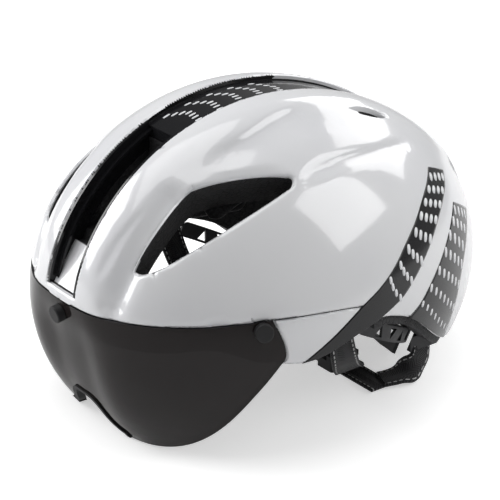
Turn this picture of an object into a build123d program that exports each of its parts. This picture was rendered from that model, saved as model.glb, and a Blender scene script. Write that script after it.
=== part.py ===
from build123d import *
import functools
import math
import os

# Aero time trial helmet. +Z is up, the face looks along -Y and the wearer's left is +X.
# Shapes are drawn round the ear line, and place_node lifts them so that the table is at zero.

# Outer form of the shell, measured from the ear line
shell_half_width = 101.0
front_reach = 120.2
rear_reach = 145.0
crown_height = 107.75
belly_depth = 99.75
stand_depth = 58.0
tail_taper_share = 0.0262
flank_flat_share = 0.0303
rail_swell_share = 0.0201
rail_place_share = 0.24
rail_spread_share = 0.13
nose_flat = 8.8
nose_flat_width = 27.0
nose_flat_height = 8.0
nose_flat_fade = 14.0

# Walls and gaps
shell_wall = 2.4
skin_gap = 0.25
seam_gap = 0.5
visor_recess = 5.0
lens_wall = 2.0
lens_gap = 0.6
liner_side = 22.0
liner_front = 23.0
liner_rear = 27.0
liner_crown = 24.0
liner_lip = 5.5
overrun = 30.0
skin_clear = 3.0
liner_split = 10.0

# Brow line, where the visor's top edge meets the shell
brow_height = 26.4
brow_slope_share = 0.0637

# Channel along the middle of the crown
channel_front_half = 12.9
channel_rear_half = 15.2
channel_gap = 0.3
spine_drop = 3.0
spine_wall = 2.4
spine_lip = 5.5
trim_wall = 1.3
trim_top_drop = 0.6
trim_depth = 14.0
ledge_drop = 4.2
ledge_width = 2.8
ledge_wall = 1.4
ramp_wall = 2.0
ramp_drop_low = 3.6
ramp_drop_high = 9.5
ramp_low_angle = math.radians(13.5)
ramp_high_angle = math.radians(27)
sill_height = 4.5

# Side vents, small top vents and tail vents
vent_lean_shares = (0.46, -0.36, 0.81)
vent_length = 94.0
vent_width = 27.0
leaf_length = 27.0
leaf_width = 5.0
leaf_place_shares = (0.33, 0.42)
tail_place_shares = (0.3, 0.32, 0.72)
tail_vent_height = 34.0
tail_vent_width = 13.0
brow_hole_length = 9.0
brow_hole_height = 4.0
brow_hole_shares = (0.21, 0.08)

# Brow grille behind the visor
grille_wall = 2.0
grille_height = 6.4
grille_drop = 2.0
grille_pocket = 4.0
grille_span_shares = (0.315, 0.675)
slot_line_share = 0.8
grille_slots = 3
slot_height = 2.4
slot_share = 0.72

# Magnetic visor buttons
button_radius = 4.7
button_height = 4.4
button_round = 0.8
centre_button_drop = math.radians(83.7)
side_button_drop = math.radians(80.2)
side_button_turn = math.radians(63.5)
stem_radius = 3.2
magnet_radius = 2.5
magnet_height = 1.6
seat_radius = 5.2
running_gap = 0.08
soft_gap = 0.3

# Nose edge
nose_pad_width = 3.6
nose_pad_wall = 0.9

# Head band and its dial
band_radius = 80.0
band_tilt = 28.0
band_back = 20.0
band_drop = 6.0
band_wall = 1.6
band_height = 9.0
band_front_angle = 95.0
band_rise_angle = 34.0
band_rise_span = 5.0
band_tip_angle = 3.0
band_hole = 6.4
band_hole_angles = (83.0, 74.5, 66.0)
band_round_angle = 57.0
rack_rear_angle = 5.0
rack_front_angle = 17.0
rack_wall = 2.4
groove_play = 1.7
groove_side = 2.0
dial_rise = 9.0
pinion_teeth = 12
tooth_module = 0.7
tooth_play = 0.12
tooth_slope_share = 0.24
tooth_tip_share = 0.75
tooth_root_share = 1.1
tooth_sink = 0.3
pinion_side = 0.15
housing_angle = 12.5
housing_wall = 2.0
housing_play = 0.5
housing_low = -3.5
housing_high = 21.5
knob_radius = 14.0
knob_height = 8.5
knob_gap = 0.3
knob_round = 2.0
knob_grips = 18
grip_radius = 1.6
grip_sink = 0.8
shaft_radius = 2.2
screw_radius = 0.9
screw_head_radius = 3.2
screw_head_height = 1.5
screw_depth = 5.5
recess_play = 5.0
recess_wall = 25.0
recess_top_share = 0.21
height_travel = 12.0
nape_angle = 27.0
nape_drop = 17.0
nape_hole = 7.0
nape_hole_angles = (9.0, 18.0)
nape_hole_drop = 9.5
tongue_width = 18.0
tongue_top = 46.0
rail_width = 27.0
rail_low = 29.0
rail_high = 47.0
rail_lip = 2.3
rail_depth = 10.8
rail_window = 11.0

# Pads
pad_wall = 6.0
pad_step = 2.0
pad_round = 5.0
brow_pad_place = (0, 18.5)
brow_pad_size = (116.0, 17.0)
rear_pad_place = (0, 35.0)
rear_pad_size = (42.0, 30.0)
crown_pad_place = (27.0, -5.0)
crown_pad_size = (24.0, 88.0)
temple_pad_place = (-26.0, 22.0)
temple_pad_size = (28.0, 24.0)
side_pad_place = (32.0, 15.0)
side_pad_size = (36.0, 22.0)

# Straps, dividers and chin buckle; the straps' lower run lies on the table
web_width = 15.0
web_wall = 1.5
web_steps = 14
lane_back = 46.0
lane_rise = 1.8
fold_side = 63.5
strap_gap = 0.15
divider_side = 25.0
divider_length = 14.0
divider_width = 19.0
divider_height = 6.0
divider_floor = 0.8
divider_slot = 3.8
ear_wall = 2.0
ear_length = 5.0
ear_height = 3.2
lever_length = 10.5
lever_wall = 1.8
lever_gap = 0.4
lever_pin_radius = 0.9
lever_pin_side = 4.5
lever_pin_rise = 7.5
barrel_radius = 1.2
buckle_half = 10.0
buckle_split = 1.0
buckle_width = 22.0
buckle_height = 8.0
buckle_wall = 1.9
buckle_round = 3.0
mouth_depth = 3.2
mouth_play = 0.2
prong_width = 3.3
prong_reach = 5.4
prong_place = 5.2
barb_start = 2.4
barb_height = 2.1
socket_depth = 6.0
keeper_length = 5.0
keeper_place = 14.0
keeper_width = 18.6
keeper_low = 0.1
keeper_high = 3.9
keeper_round = 0.6
strap_tuck = 0.3
anchor_length = 19.0
anchor_wall = 4.4
anchor_height = 7.0

half_length = (front_reach + rear_reach) / 2
mid_shift = (rear_reach - front_reach) / 2

shell_form = (shell_half_width, front_reach, rear_reach, crown_height, belly_depth, rail_swell_share)
cavity_form = (
    shell_half_width - liner_side,
    front_reach - liner_front,
    rear_reach - liner_rear,
    crown_height - liner_crown,
    belly_depth - liner_crown,
    0,
)

# Reach of a surface patch, in radians from the crown, and of the visor's patch
dome_reach = 2.1
visor_turn_reach = 1.3
visor_drop_start = 1.22
visor_drop_end = 2.26
patch_steps = 32


def form_point(form, direction, inset):
    """Point of a rounded form in a given direction, moved inwards by the inset."""
    half_width, front, rear, crown, belly, swell_share = form
    nx, ny, nz = direction
    upper = min(max(2 * nz, 0), 1)
    rail = swell_share * upper * math.exp(-(((abs(nx) - rail_place_share) / rail_spread_share) ** 2))
    flank = flank_flat_share * (nx * nx * ny * ny + ny * ny * nz * nz + nx * nx * nz * nz)
    size = 1 + rail - flank
    ux, uy, uz = size * nx, size * ny, size * nz
    x = (half_width - inset) * (1 - tail_taper_share * uy) * ux
    y = ((front + rear) / 2 - inset) * uy + (rear - front) / 2 * uy * uy
    z = ((crown + belly) / 2 - inset) * uz + (crown - belly) / 2 * uz * uz
    low = (1 - math.tanh((z - nose_flat_height) / nose_flat_fade)) / 2
    middle = 1 / (1 + (x / nose_flat_width) ** 4)
    return Vector(x, y + nose_flat * low * middle * min(uy, 0) ** 2, z)


def dome_direction(across, along):
    tilt = math.hypot(across, along)
    share = math.sin(tilt) / tilt if tilt else 1
    return (across * share, along * share, math.cos(tilt))


def front_direction(turn, drop):
    """Direction given by its turn from the face towards +X and its drop from the crown."""
    return (math.sin(drop) * math.sin(turn), -math.sin(drop) * math.cos(turn), math.cos(drop))


def steps_between(low, high):
    return [low + (high - low) * i / patch_steps for i in range(patch_steps + 1)]


def dome_skin(form, inset):
    places = steps_between(-dome_reach, dome_reach)
    rows = [[form_point(form, dome_direction(a, b), inset) for b in places] for a in places]
    return Face.make_surface_from_array_of_points(rows, min_deg=3, max_deg=3)


def front_skin(form, inset):
    turns = steps_between(-visor_turn_reach, visor_turn_reach)
    drops = steps_between(visor_drop_start, visor_drop_end)
    rows = [[form_point(form, front_direction(t, d), inset) for d in drops] for t in turns]
    return Face.make_surface_from_array_of_points(rows, min_deg=3, max_deg=3)


def between(outer, inner):
    """Solid between two like patches, closed by ruled walls along their edges."""
    walls = []
    for edge in outer.edges():
        mate = min(inner.edges(), key=lambda other: (other.center() - edge.center()).length)
        walls.append(Face.make_surface_from_curves(edge, mate))
    return Solid(Shell([outer, inner] + walls))


@functools.cache
def dome_layer(outer_inset, inner_inset):
    return between(dome_skin(shell_form, outer_inset), dome_skin(shell_form, inner_inset))


def front_layer(outer_inset, inner_inset):
    return between(front_skin(shell_form, outer_inset), front_skin(shell_form, inner_inset))


def zone(plane, runs, low, high):
    """Prism over an outline: a run of two points is straight, a longer one is a smooth curve."""
    with BuildSketch(plane) as sketch:
        with BuildLine():
            for run in runs:
                if len(run) == 2:
                    Line(*run)
                else:
                    Spline(*run)
        make_face()
    face = sketch.sketch.moved(Location(plane.z_dir * low))
    return extrude(face, high - low, dir=plane.z_dir)


def prism(plane, corners, low, high):
    """Straight-sided prism over a plane, between two heights along its normal."""
    runs = [[corners[i - 1], corners[i]] for i in range(len(corners))]
    return zone(plane, runs, low, high)


def block(low, high):
    """Box between two opposite corners."""
    size = [b - a for a, b in zip(low, high)]
    middle = [(a + b) / 2 for a, b in zip(low, high)]
    return Location(tuple(middle)) * Box(*size)


def mirrored(part):
    return mirror(part, about=Plane.YZ)


def side(along_share, up_share):
    return (along_share * half_length, up_share * crown_height)


def face_on(across_share, up_share):
    return (across_share * shell_half_width, up_share * crown_height)


def brow_point(along, lower=0):
    return (along, brow_height + brow_slope_share * along - lower)


def surface_plane(direction, inset):
    """Plane that touches the shell's form in a given direction, with its normal outwards."""
    nx, ny, nz = direction
    small = 0.01
    here = form_point(shell_form, direction, inset)
    side_way = Vector(-ny, nx, 0).normalized()
    up_way = Vector(nx, ny, nz).cross(side_way)
    around = Vector(nx, ny, nz) + side_way * small
    above = Vector(nx, ny, nz) + up_way * small
    run = form_point(shell_form, tuple(around.normalized()), inset) - here
    rise = form_point(shell_form, tuple(above.normalized()), inset) - here
    return Plane(origin=here, x_dir=run.normalized(), z_dir=run.cross(rise).normalized())


# Side view lines, as shares of the half length and of the crown height
seam_shares = [(-0.407, 0.2115), (-0.277, 0.207), (-0.153, 0.1995), (0, 0.178)]
arch_shares = [
    (0.068, 0.083), (0.109, 0.086), (0.176, 0.065), (0.249, 0.028), (0.317, -0.028),
    (0.392, -0.107), (0.483, -0.2), (0.586, -0.283), (0.739, -0.348), (0.905, -0.38), (1.28, -0.4),
]
lower_rim_shares = [
    (0.064, 0.081), (0, 0.062), (-0.071, 0.037), (-0.14, 0.008), (-0.204, -0.013), (-0.287, -0.023),
]
brow_rim_shares = [
    (-0.347, -0.009), (-0.415, -0.007), (-0.49, 0.035), (-0.566, 0.067), (-0.716, 0.039),
    (-0.83, 0.02), (-0.87, -0.012), (-1.1, -0.03),
]
lens_rear_shares = [
    (-0.381, 0.208), (-0.36, 0.139), (-0.3425, 0.062), (-0.3425, 0.022), (-0.357, -0.005),
]
lens_low_shares = [
    (-0.357, -0.005), (-0.406, -0.09), (-0.46, -0.193), (-0.51, -0.31), (-0.548, -0.399),
    (-0.584, -0.469), (-0.626, -0.52), (-0.671, -0.538),
]
nose_shares = [(0, -0.353), (0.06, -0.356), (0.119, -0.4), (0.149, -0.453), (0.188, -0.49), (0.24, -0.51)]


def upper_zone():
    front = -front_reach - overrun
    top = crown_height + overrun
    seam = [side(*share) for share in seam_shares]
    arch = [side(*share) for share in arch_shares]
    runs = [
        [brow_point(front), seam[0]],
        seam,
        [seam[-1], arch[0]],
        arch,
        [arch[-1], (arch[-1][0], top)],
        [(arch[-1][0], top), (front, top)],
        [(front, top), brow_point(front)],
    ]
    return zone(Plane.YZ, runs, -shell_half_width - overrun, shell_half_width + overrun)


def lower_zone(gap):
    """Side view of the lower shell, with a gap left along the seam."""
    front = -front_reach - overrun
    seam = [(y, z - gap) for y, z in (side(*share) for share in seam_shares)]
    rim = [side(*share) for share in lower_rim_shares]
    rim[0] = (rim[0][0] - gap, rim[0][1])
    brow_rim = [side(*share) for share in brow_rim_shares]
    runs = [
        [brow_point(front, gap), seam[0]],
        seam,
        [seam[-1], rim[0]],
        rim,
        [rim[-1], brow_rim[0]],
        brow_rim,
        [brow_rim[-1], (front, brow_rim[-1][1])],
        [(front, brow_rim[-1][1]), brow_point(front, gap)],
    ]
    return zone(Plane.YZ, runs, -shell_half_width - overrun, shell_half_width + overrun)


def below_seam():
    """Everything under the lower shell's top edge, a skin gap larger than that shell."""
    front = -front_reach - overrun
    seam = [(y, z + skin_gap) for y, z in (side(*share) for share in seam_shares)]
    rear = (side(*lower_rim_shares[0])[0] + skin_gap, side(*lower_rim_shares[0])[1])
    runs = [
        [brow_point(front, -skin_gap), seam[0]],
        seam,
        [seam[-1], rear],
        [rear, (rear[0], -belly_depth)],
        [(rear[0], -belly_depth), (front, -belly_depth)],
        [(front, -belly_depth), brow_point(front, -skin_gap)],
    ]
    return zone(Plane.YZ, runs, -shell_half_width - overrun, shell_half_width + overrun)


def liner_zone():
    front = -front_reach - overrun
    top = crown_height + overrun
    brow_rim = [side(*share) for share in reversed(brow_rim_shares)]
    rim = [side(*share) for share in reversed(lower_rim_shares)]
    arch = [(y, z - liner_lip) for y, z in (side(*share) for share in arch_shares)]
    runs = [
        [(front, brow_rim[0][1]), brow_rim[0]],
        brow_rim,
        [brow_rim[-1], rim[0]],
        rim,
        [rim[-1], arch[0]],
        arch,
        [arch[-1], (arch[-1][0], top)],
        [(arch[-1][0], top), (front, top)],
        [(front, top), (front, brow_rim[0][1])],
    ]
    return zone(Plane.YZ, runs, -shell_half_width - overrun, shell_half_width + overrun)


def visor_zone(gap):
    """Side view of the visor, down to the table, grown backwards by a gap."""
    front = -front_reach - overrun
    rear = [(y + gap, z) for y, z in (side(*share) for share in lens_rear_shares)]
    low = [(y + gap, z) for y, z in (side(*share) for share in lens_low_shares)]
    low[-1] = (low[-1][0], -stand_depth)
    edge = lens_gap - gap
    runs = [
        [brow_point(front, edge), (rear[0][0], brow_point(rear[0][0], edge)[1])],
        [(rear[0][0], brow_point(rear[0][0], edge)[1])] + rear[1:],
        low,
        [low[-1], (front, -stand_depth)],
        [(front, -stand_depth), brow_point(front, edge)],
    ]
    return zone(Plane.YZ, runs, -shell_half_width - overrun, shell_half_width + overrun)


def nose_zone(grow):
    """Cut for the wearer's nose, seen from the front and grown by a border."""
    right = [face_on(*share) for share in nose_shares]
    right = [(x + grow * min(x / right[2][0], 1), z + grow) for x, z in right]
    left = [(-x, z) for x, z in reversed(right)]
    low = -belly_depth
    runs = [
        left[:-1] + right,
        [right[-1], (right[-1][0], low)],
        [(right[-1][0], low), (left[0][0], low)],
        [(left[0][0], low), left[0]],
    ]
    return zone(Plane.XZ, runs, 0, front_reach + overrun)


def channel_zone(gap, rear_start, rear_end, low):
    """Upright prism along the middle, wider towards the tail."""
    def half(along):
        share = (along + front_reach) / (front_reach + rear_reach)
        return channel_front_half + (channel_rear_half - channel_front_half) * share - gap
    a, b = rear_start, rear_end
    runs = [
        [(half(a), a), (half(b), b)],
        [(half(b), b), (-half(b), b)],
        [(-half(b), b), (-half(a), a)],
        [(-half(a), a), (half(a), a)],
    ]
    return zone(Plane.XY, runs, low, crown_height + overrun)


# Where the channel's open stretch ends and the spine panel starts
spine_start = -0.392 * half_length
open_low = 0.44 * crown_height
spine_low = -0.26 * crown_height


def channel_cut():
    front = channel_zone(0, -front_reach - overrun, 0, brow_point(-front_reach)[1] + sill_height)
    rear = channel_zone(0, 0, rear_reach + overrun, spine_low)
    return [front, rear]


vent_shares = [
    [(-0.512, 0.03), (-0.472, 0.1), (-0.388, 0.215), (-0.266, 0.359), (-0.146, 0.49), (-0.037, 0.56)],
    [(-0.037, 0.56), (0.093, 0.433), (0.244, 0.241), (0.368, 0.063), (0.44, -0.07)],
    [(0.44, -0.07), (0.463, -0.16), (0.45, -0.25), (0.415, -0.315)],
    [(0.415, -0.315), (0.246, -0.396), (0.083, -0.432), (-0.073, -0.433), (-0.221, -0.395), (-0.363, -0.319)],
    [(-0.363, -0.319), (-0.439, -0.222), (-0.5, -0.06), (-0.512, 0.03)],
]
vent_direction_shares = (0.545, -0.475, 0.68)
vent_ahead_shares = (0.19, 0.88, 0.42)


def vent_plane():
    lean = Vector(*vent_lean_shares).normalized()
    middle = form_point(shell_form, tuple(Vector(*vent_direction_shares).normalized()), 0)
    ahead = Vector(*vent_ahead_shares)
    along = (ahead - lean * ahead.dot(lean)).normalized()
    return Plane(origin=middle, x_dir=along, z_dir=lean)


def vent_cut():
    """Slanted hole of the left side vent, through the shell and its liner."""
    runs = [[(x * vent_length, y * vent_width) for x, y in run] for run in vent_shares]
    return vent_plane().location * zone(Plane.XY, runs, -liner_crown - overrun, overrun)


def leaf_cut():
    """Narrow top vent behind the crown, on the left."""
    x, y = leaf_place_shares[0] * shell_half_width, leaf_place_shares[1] * half_length
    tip = leaf_length / 2
    runs = [
        [(x, y - tip), (x - leaf_width / 2, y), (x, y + tip)],
        [(x, y + tip), (x + leaf_width / 2, y), (x, y - tip)],
    ]
    return zone(Plane.XY, runs, 0, crown_height + overrun)


def tail_cut():
    """Upright exhaust slot in the left of the tail."""
    x, z = tail_place_shares[0] * shell_half_width, tail_place_shares[1] * crown_height
    with BuildSketch(Plane.XZ.offset(-rear_reach - overrun)) as sketch:
        with Locations((x, z)):
            SlotOverall(tail_vent_height, tail_vent_width, rotation=90)
    return extrude(sketch.sketch, rear_reach + overrun - tail_place_shares[2] * half_length, dir=(0, -1, 0))


def both(part):
    return [part, mirrored(part)]


def cut_all(part, cuts):
    for cut in cuts:
        part = part - cut
    return part


def outer_shell():
    shell = dome_layer(0, shell_wall) & upper_zone()
    return cut_all(shell, channel_cut() + both(vent_cut()) + both(leaf_cut()) + both(tail_cut()))


# Open front of the channel: white ramp, black side trim with its ledge
def ramp_points(extra):
    low = form_point(shell_form, (0, -math.cos(ramp_low_angle), math.sin(ramp_low_angle)), ramp_drop_low + extra)
    high = form_point(shell_form, (0, -math.cos(ramp_high_angle), math.sin(ramp_high_angle)), ramp_drop_high + extra)
    return (low.Y, low.Z), (high.Y, high.Z)


def ramp_zone(gap):
    """The ramp's own solid, grown by a gap."""
    low, high = ramp_points(-gap)
    low_in, high_in = ramp_points(ramp_wall + gap)
    half = channel_front_half - channel_gap - trim_wall - channel_gap + gap
    return prism(Plane.YZ, [low, high, high_in, low_in], -half, half)


def behind_ramp():
    """Liner core that backs the ramp between the trim's side walls."""
    low, high = ramp_points(ramp_wall + skin_gap)
    half = channel_front_half - channel_gap - trim_wall - channel_gap
    runs = [[low, high], [high, (0, high[1])], [(0, high[1]), (0, low[1])], [(0, low[1]), low]]
    return zone(Plane.YZ, runs, -half, half)


def sill_low():
    return brow_point(-front_reach)[1] + sill_height


def channel_trim():
    front = -front_reach - overrun
    outside = channel_zone(channel_gap, front, spine_start - channel_gap, sill_low() + channel_gap)
    wall_inside = channel_zone(channel_gap + trim_wall, front, 0, 0)
    ledge_inside = channel_zone(channel_gap + trim_wall + ledge_width, front, 0, 0)
    walls = (dome_layer(trim_top_drop, trim_depth) & outside) - wall_inside
    ledges = (dome_layer(ledge_drop, ledge_drop + ledge_wall) & outside) - ledge_inside
    trim = (walls + ledges) - ramp_zone(channel_gap)
    return sorted(trim.solids(), key=lambda solid: solid.center().X)


def spine_panel():
    rear = rear_reach + overrun
    plan = channel_zone(channel_gap, spine_start, rear, spine_low + channel_gap)
    panel = dome_layer(spine_drop, spine_drop + spine_wall) & plan
    lip_plan = channel_zone(channel_gap, spine_start, spine_start + spine_wall, 0)
    return panel + (dome_layer(spine_drop, spine_drop + spine_lip) & lip_plan)


def channel_liner_cuts():
    front = -front_reach - overrun
    rear = rear_reach + overrun
    trench = dome_layer(-skin_clear, trim_depth + skin_gap) & channel_zone(0, front, spine_start, sill_low())
    trench = trench - behind_ramp()
    through = channel_zone(0, front, spine_start, open_low)
    panel_floor = spine_drop + spine_wall + skin_gap
    panel = dome_layer(-skin_clear, panel_floor) & channel_zone(0, spine_start - channel_gap, rear, spine_low)
    lip_floor = spine_drop + spine_lip + skin_gap
    lip_plan = channel_zone(0, spine_start - channel_gap, spine_start + spine_wall + channel_gap, 0)
    lip = dome_layer(-skin_clear, lip_floor) & lip_plan
    return [trench, through, panel, lip]


# Lower shell: brow band behind the visor and the flush cheeks beside it
def grille_zone(grow):
    """Left grille's place: a band under the brow line between two upright planes."""
    front = -front_reach - overrun
    top, low = grille_drop - grow, grille_drop + grille_height + grow
    runs = [
        [brow_point(front, top), brow_point(0, top)],
        [brow_point(0, top), brow_point(0, low)],
        [brow_point(0, low), brow_point(front, low)],
        [brow_point(front, low), brow_point(front, top)],
    ]
    start, end = (share * shell_half_width for share in grille_span_shares)
    return zone(Plane.YZ, runs, start - grow, end + grow)


def brow_grille():
    grille = dome_layer(visor_recess, visor_recess + grille_wall) & grille_zone(0)
    start, end = (share * shell_half_width for share in grille_span_shares)
    pitch = (end - start) / grille_slots
    for i in range(grille_slots):
        middle = start + pitch * (i + 1 / 2)
        z = brow_point(-front_reach * slot_line_share, grille_drop + grille_height / 2)[1]
        with BuildSketch(Plane.XZ) as sketch:
            with Locations((middle, z)):
                SlotOverall(pitch * slot_share, slot_height)
        grille = grille - extrude(sketch.sketch, front_reach + overrun)
    return grille


def brow_hole():
    x, z = brow_hole_shares[0] * shell_half_width, brow_hole_shares[1] * crown_height
    with BuildSketch(Plane.XZ) as sketch:
        with Locations((x, z)):
            SlotOverall(brow_hole_length, brow_hole_height)
    return extrude(sketch.sketch, front_reach + overrun)


def button_planes():
    """Places of the visor's buttons: centre, left and right."""
    centre = surface_plane(front_direction(0, centre_button_drop), 0)
    left = surface_plane(front_direction(side_button_turn, side_button_drop), 0)
    right = surface_plane(front_direction(-side_button_turn, side_button_drop), 0)
    return {"center": centre, "left": left, "right": right}


def disc(plane, radius, low, high):
    """Round solid on a plane, between two heights along its normal."""
    return plane.offset(low).location * Cylinder(radius, high - low, align=(Align.CENTER, Align.CENTER, Align.MIN))


seat_top = -lens_wall - soft_gap


def lower_shell():
    shell = dome_layer(0, visor_recess + shell_wall) & lower_zone(seam_gap)
    shell = shell - (dome_layer(-skin_clear, visor_recess) & visor_zone(lens_gap))
    for plane in button_planes().values():
        shell = shell + disc(plane, seat_radius, -visor_recess - shell_wall / 2, seat_top)
        shell = shell - disc(plane, magnet_radius, seat_top - magnet_height, seat_top + skin_clear)
    return cut_all(shell, both(grille_zone(running_gap)) + both(brow_hole()))


def foam_liner():
    outer = dome_skin(shell_form, shell_wall + skin_gap)
    liner = between(outer, dome_skin(cavity_form, 0)) & liner_zone()
    low_wall = visor_recess + shell_wall + skin_gap
    liner = liner - (dome_layer(-skin_clear, low_wall) & below_seam())
    cuts = channel_liner_cuts() + [ramp_zone(channel_gap)] + both(vent_cut()) + both(leaf_cut()) + both(tail_cut())
    cuts += both(dome_layer(0, low_wall + grille_pocket) & grille_zone(0))
    return cut_all(liner, cuts + [dial_recess(), band_groove()])


def liner_parts(liner):
    """The liner as its four moulded blocks: front and rear, left and right."""
    wide, high = shell_half_width + overrun, crown_height + overrun
    front = liner & block((0, -front_reach - overrun, -belly_depth), (wide, liner_split, high))
    rear = liner & block((0, liner_split, -belly_depth), (wide, rear_reach + overrun, high))
    return {
        "foam_liner_front_left": front,
        "foam_liner_front_right": mirrored(front),
        "foam_liner_rear_left": rear,
        "foam_liner_rear_right": mirrored(rear),
    }


def dial_recess():
    """Hollow in the liner's nape for the dial."""
    half = knob_radius + recess_play
    back = rear_reach - recess_wall
    runs = [
        [(-half, 0), (half, 0)],
        [(half, 0), (half, back)],
        [(half, back), (-half, back)],
        [(-half, back), (-half, 0)],
    ]
    return zone(Plane.XY, runs, -belly_depth, -recess_top_share * crown_height)


# Visor
def visor_lens():
    lens = (front_layer(0, lens_wall) & visor_zone(0)) - nose_zone(0)
    radius = stem_radius + running_gap
    return cut_all(lens, [disc(plane, radius, -visor_recess, visor_recess) for plane in button_planes().values()])


def nose_pad(lens):
    layer = front_layer(-nose_pad_wall, lens_wall + nose_pad_wall) & visor_zone(0)
    return ((layer & nose_zone(nose_pad_width)) - nose_zone(-nose_pad_wall)) - lens


def visor_button(plane):
    cap = disc(plane, button_radius, running_gap, button_height)
    cap = fillet(cap.edges().sort_by(lambda edge: plane.to_local_coords(edge.center()).Z)[-1], button_round)
    stem = disc(plane, stem_radius, -lens_wall, button_height / 2)
    return (cap + stem) - disc(plane, magnet_radius, -lens_wall - overrun, -lens_wall + magnet_height)


# Head band, drawn round its own axis and tilted down to the nape
band_frame = Location((0, band_back, -band_drop)) * Location((0, 0, 0), (-band_tilt, 0, 0))


def ring(radius, wall, low, high, start, end):
    """Part of a ring round the band's axis, between two angles from the nape towards +X."""
    with BuildSketch(Plane.YZ) as sketch:
        with Locations((radius, (low + high) / 2)):
            Rectangle(wall, high - low)
    sector = revolve(sketch.sketch, Axis.Z, revolution_arc=end - start)
    return Location((0, 0, 0), (0, 0, -end)) * sector


def turned(part, angle):
    """Turn round the band's axis, from the nape towards +X."""
    return Location((0, 0, 0), (0, 0, -angle)) * part


def radial_prism(corners, angle, rise):
    """Prism through the band's walls at an angle and a height."""
    placed = [(x, z + rise) for x, z in corners]
    return turned(prism(Plane.XZ, placed, -band_radius - overrun, -band_radius / 2), angle)


pinion_pitch = pinion_teeth * tooth_module / 2
tooth_pitch = math.pi * tooth_module
rack_step = math.degrees(tooth_pitch / band_radius)
arm_in = band_radius - band_wall / 2
arm_out = band_radius + band_wall / 2
plate_in = arm_in - housing_play
plate_out = arm_out + housing_play
plate_back = plate_out + housing_wall
plate_front = plate_in - housing_wall
strip_drop = pinion_pitch + tooth_module * tooth_root_share
dial_plane = Plane(origin=(0, 0, dial_rise), x_dir=(1, 0, 0), z_dir=(0, 1, 0))


def tooth_corners(root, tip, play):
    """Outline of one tooth between two heights, narrower by some play."""
    slope = tooth_module * tooth_slope_share
    half_root = tooth_pitch / 4 + slope - play
    half_tip = tooth_pitch / 4 - slope - play
    return [(-half_root, root), (-half_tip, tip), (half_tip, tip), (half_root, root)]


def triangle(size, way):
    return [(-size / 2, -way * size / 2), (size / 2, -way * size / 2), (0, way * size / 2)]


def band_arm(way):
    """One arm of the head band; its rack lies over the pinion (+1) or under it (-1)."""
    half = band_height / 2
    strip = sorted((dial_rise + way * strip_drop, dial_rise + way * (strip_drop + rack_wall)))
    rise_end = band_rise_angle + band_rise_span
    arm = ring(band_radius, band_wall, -half, half, band_rise_angle, band_front_angle - band_tip_angle)
    arm = arm + ring(band_radius, band_wall, min(-half, strip[0]), max(half, strip[1]), band_rise_angle, rise_end)
    arm = arm + ring(band_radius, band_wall, *strip, -rack_rear_angle, rise_end)
    tip_plane = Plane(origin=(0, 0, 0), x_dir=(1, 0, 0), z_dir=(0, 1, 0))
    arm = arm + turned(disc(tip_plane, half, arm_in, arm_out), band_front_angle - band_tip_angle)
    root = dial_rise + way * (strip_drop + tooth_sink)
    tip = dial_rise + way * (pinion_pitch - tooth_module * tooth_tip_share)
    corners = tooth_corners(root, tip, tooth_play)
    first = -int(rack_rear_angle / rack_step) + 1
    for i in range(first, int(rack_front_angle / rack_step)):
        arm = arm + turned(prism(Plane.XZ, corners, -arm_out, -arm_in), (i + 1 / 2) * rack_step)
    for i, angle in enumerate(band_hole_angles):
        arm = arm - radial_prism(triangle(band_hole, 1 - 2 * (i % 2)), angle, 0)
    arm = arm - turned(disc(tip_plane, band_hole / 2, arm_in - overrun, arm_out + overrun), band_round_angle)
    return arm if way < 0 else mirrored(arm)


def dial_pinion():
    """Pinion between the two racks, with one tooth gap facing each rack tooth."""
    low, high = arm_in - pinion_side, arm_out + pinion_side
    gear = disc(dial_plane, pinion_pitch - tooth_module * tooth_root_share, low, high)
    root = pinion_pitch - tooth_module * tooth_root_share - tooth_sink
    corners = tooth_corners(root, pinion_pitch + tooth_module * tooth_tip_share, tooth_play)
    tooth = prism(Plane.XZ, corners, -high, -low)
    for i in range(pinion_teeth):
        turn = Location((0, 0, dial_rise)) * Location((0, 0, 0), (0, 360 * i / pinion_teeth, 0))
        gear = gear + turn * tooth
    return gear - disc(dial_plane, shaft_radius, low - overrun, high + overrun)


def dial_knob():
    low = plate_back + knob_gap
    knob = disc(dial_plane, knob_radius, low, low + knob_height)
    knob = fillet(knob.edges().sort_by(Axis.Y)[-1], knob_round)
    for i in range(knob_grips):
        turn = Location((0, 0, dial_rise)) * Location((0, 0, 0), (0, 360 * (i + 1 / 2) / knob_grips, 0))
        centre = Plane(origin=(0, 0, knob_radius + grip_sink), x_dir=(1, 0, 0), z_dir=(0, 1, 0))
        knob = knob - turn * disc(centre, grip_radius, low - knob_gap, low + overrun)
    knob = knob + disc(dial_plane, shaft_radius, plate_front - knob_gap / 2, low)
    return knob - disc(dial_plane, screw_radius, plate_front - overrun, plate_front + screw_depth)


def dial_screw():
    seat = plate_front - knob_gap / 2
    screw = disc(dial_plane, screw_head_radius, seat - screw_head_height, seat)
    slot = Location((0, seat - screw_head_height, dial_rise)) * Box(screw_head_radius, screw_radius, screw_radius)
    return (screw + disc(dial_plane, screw_radius, seat - running_gap, plate_front + screw_depth)) - slot


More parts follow.
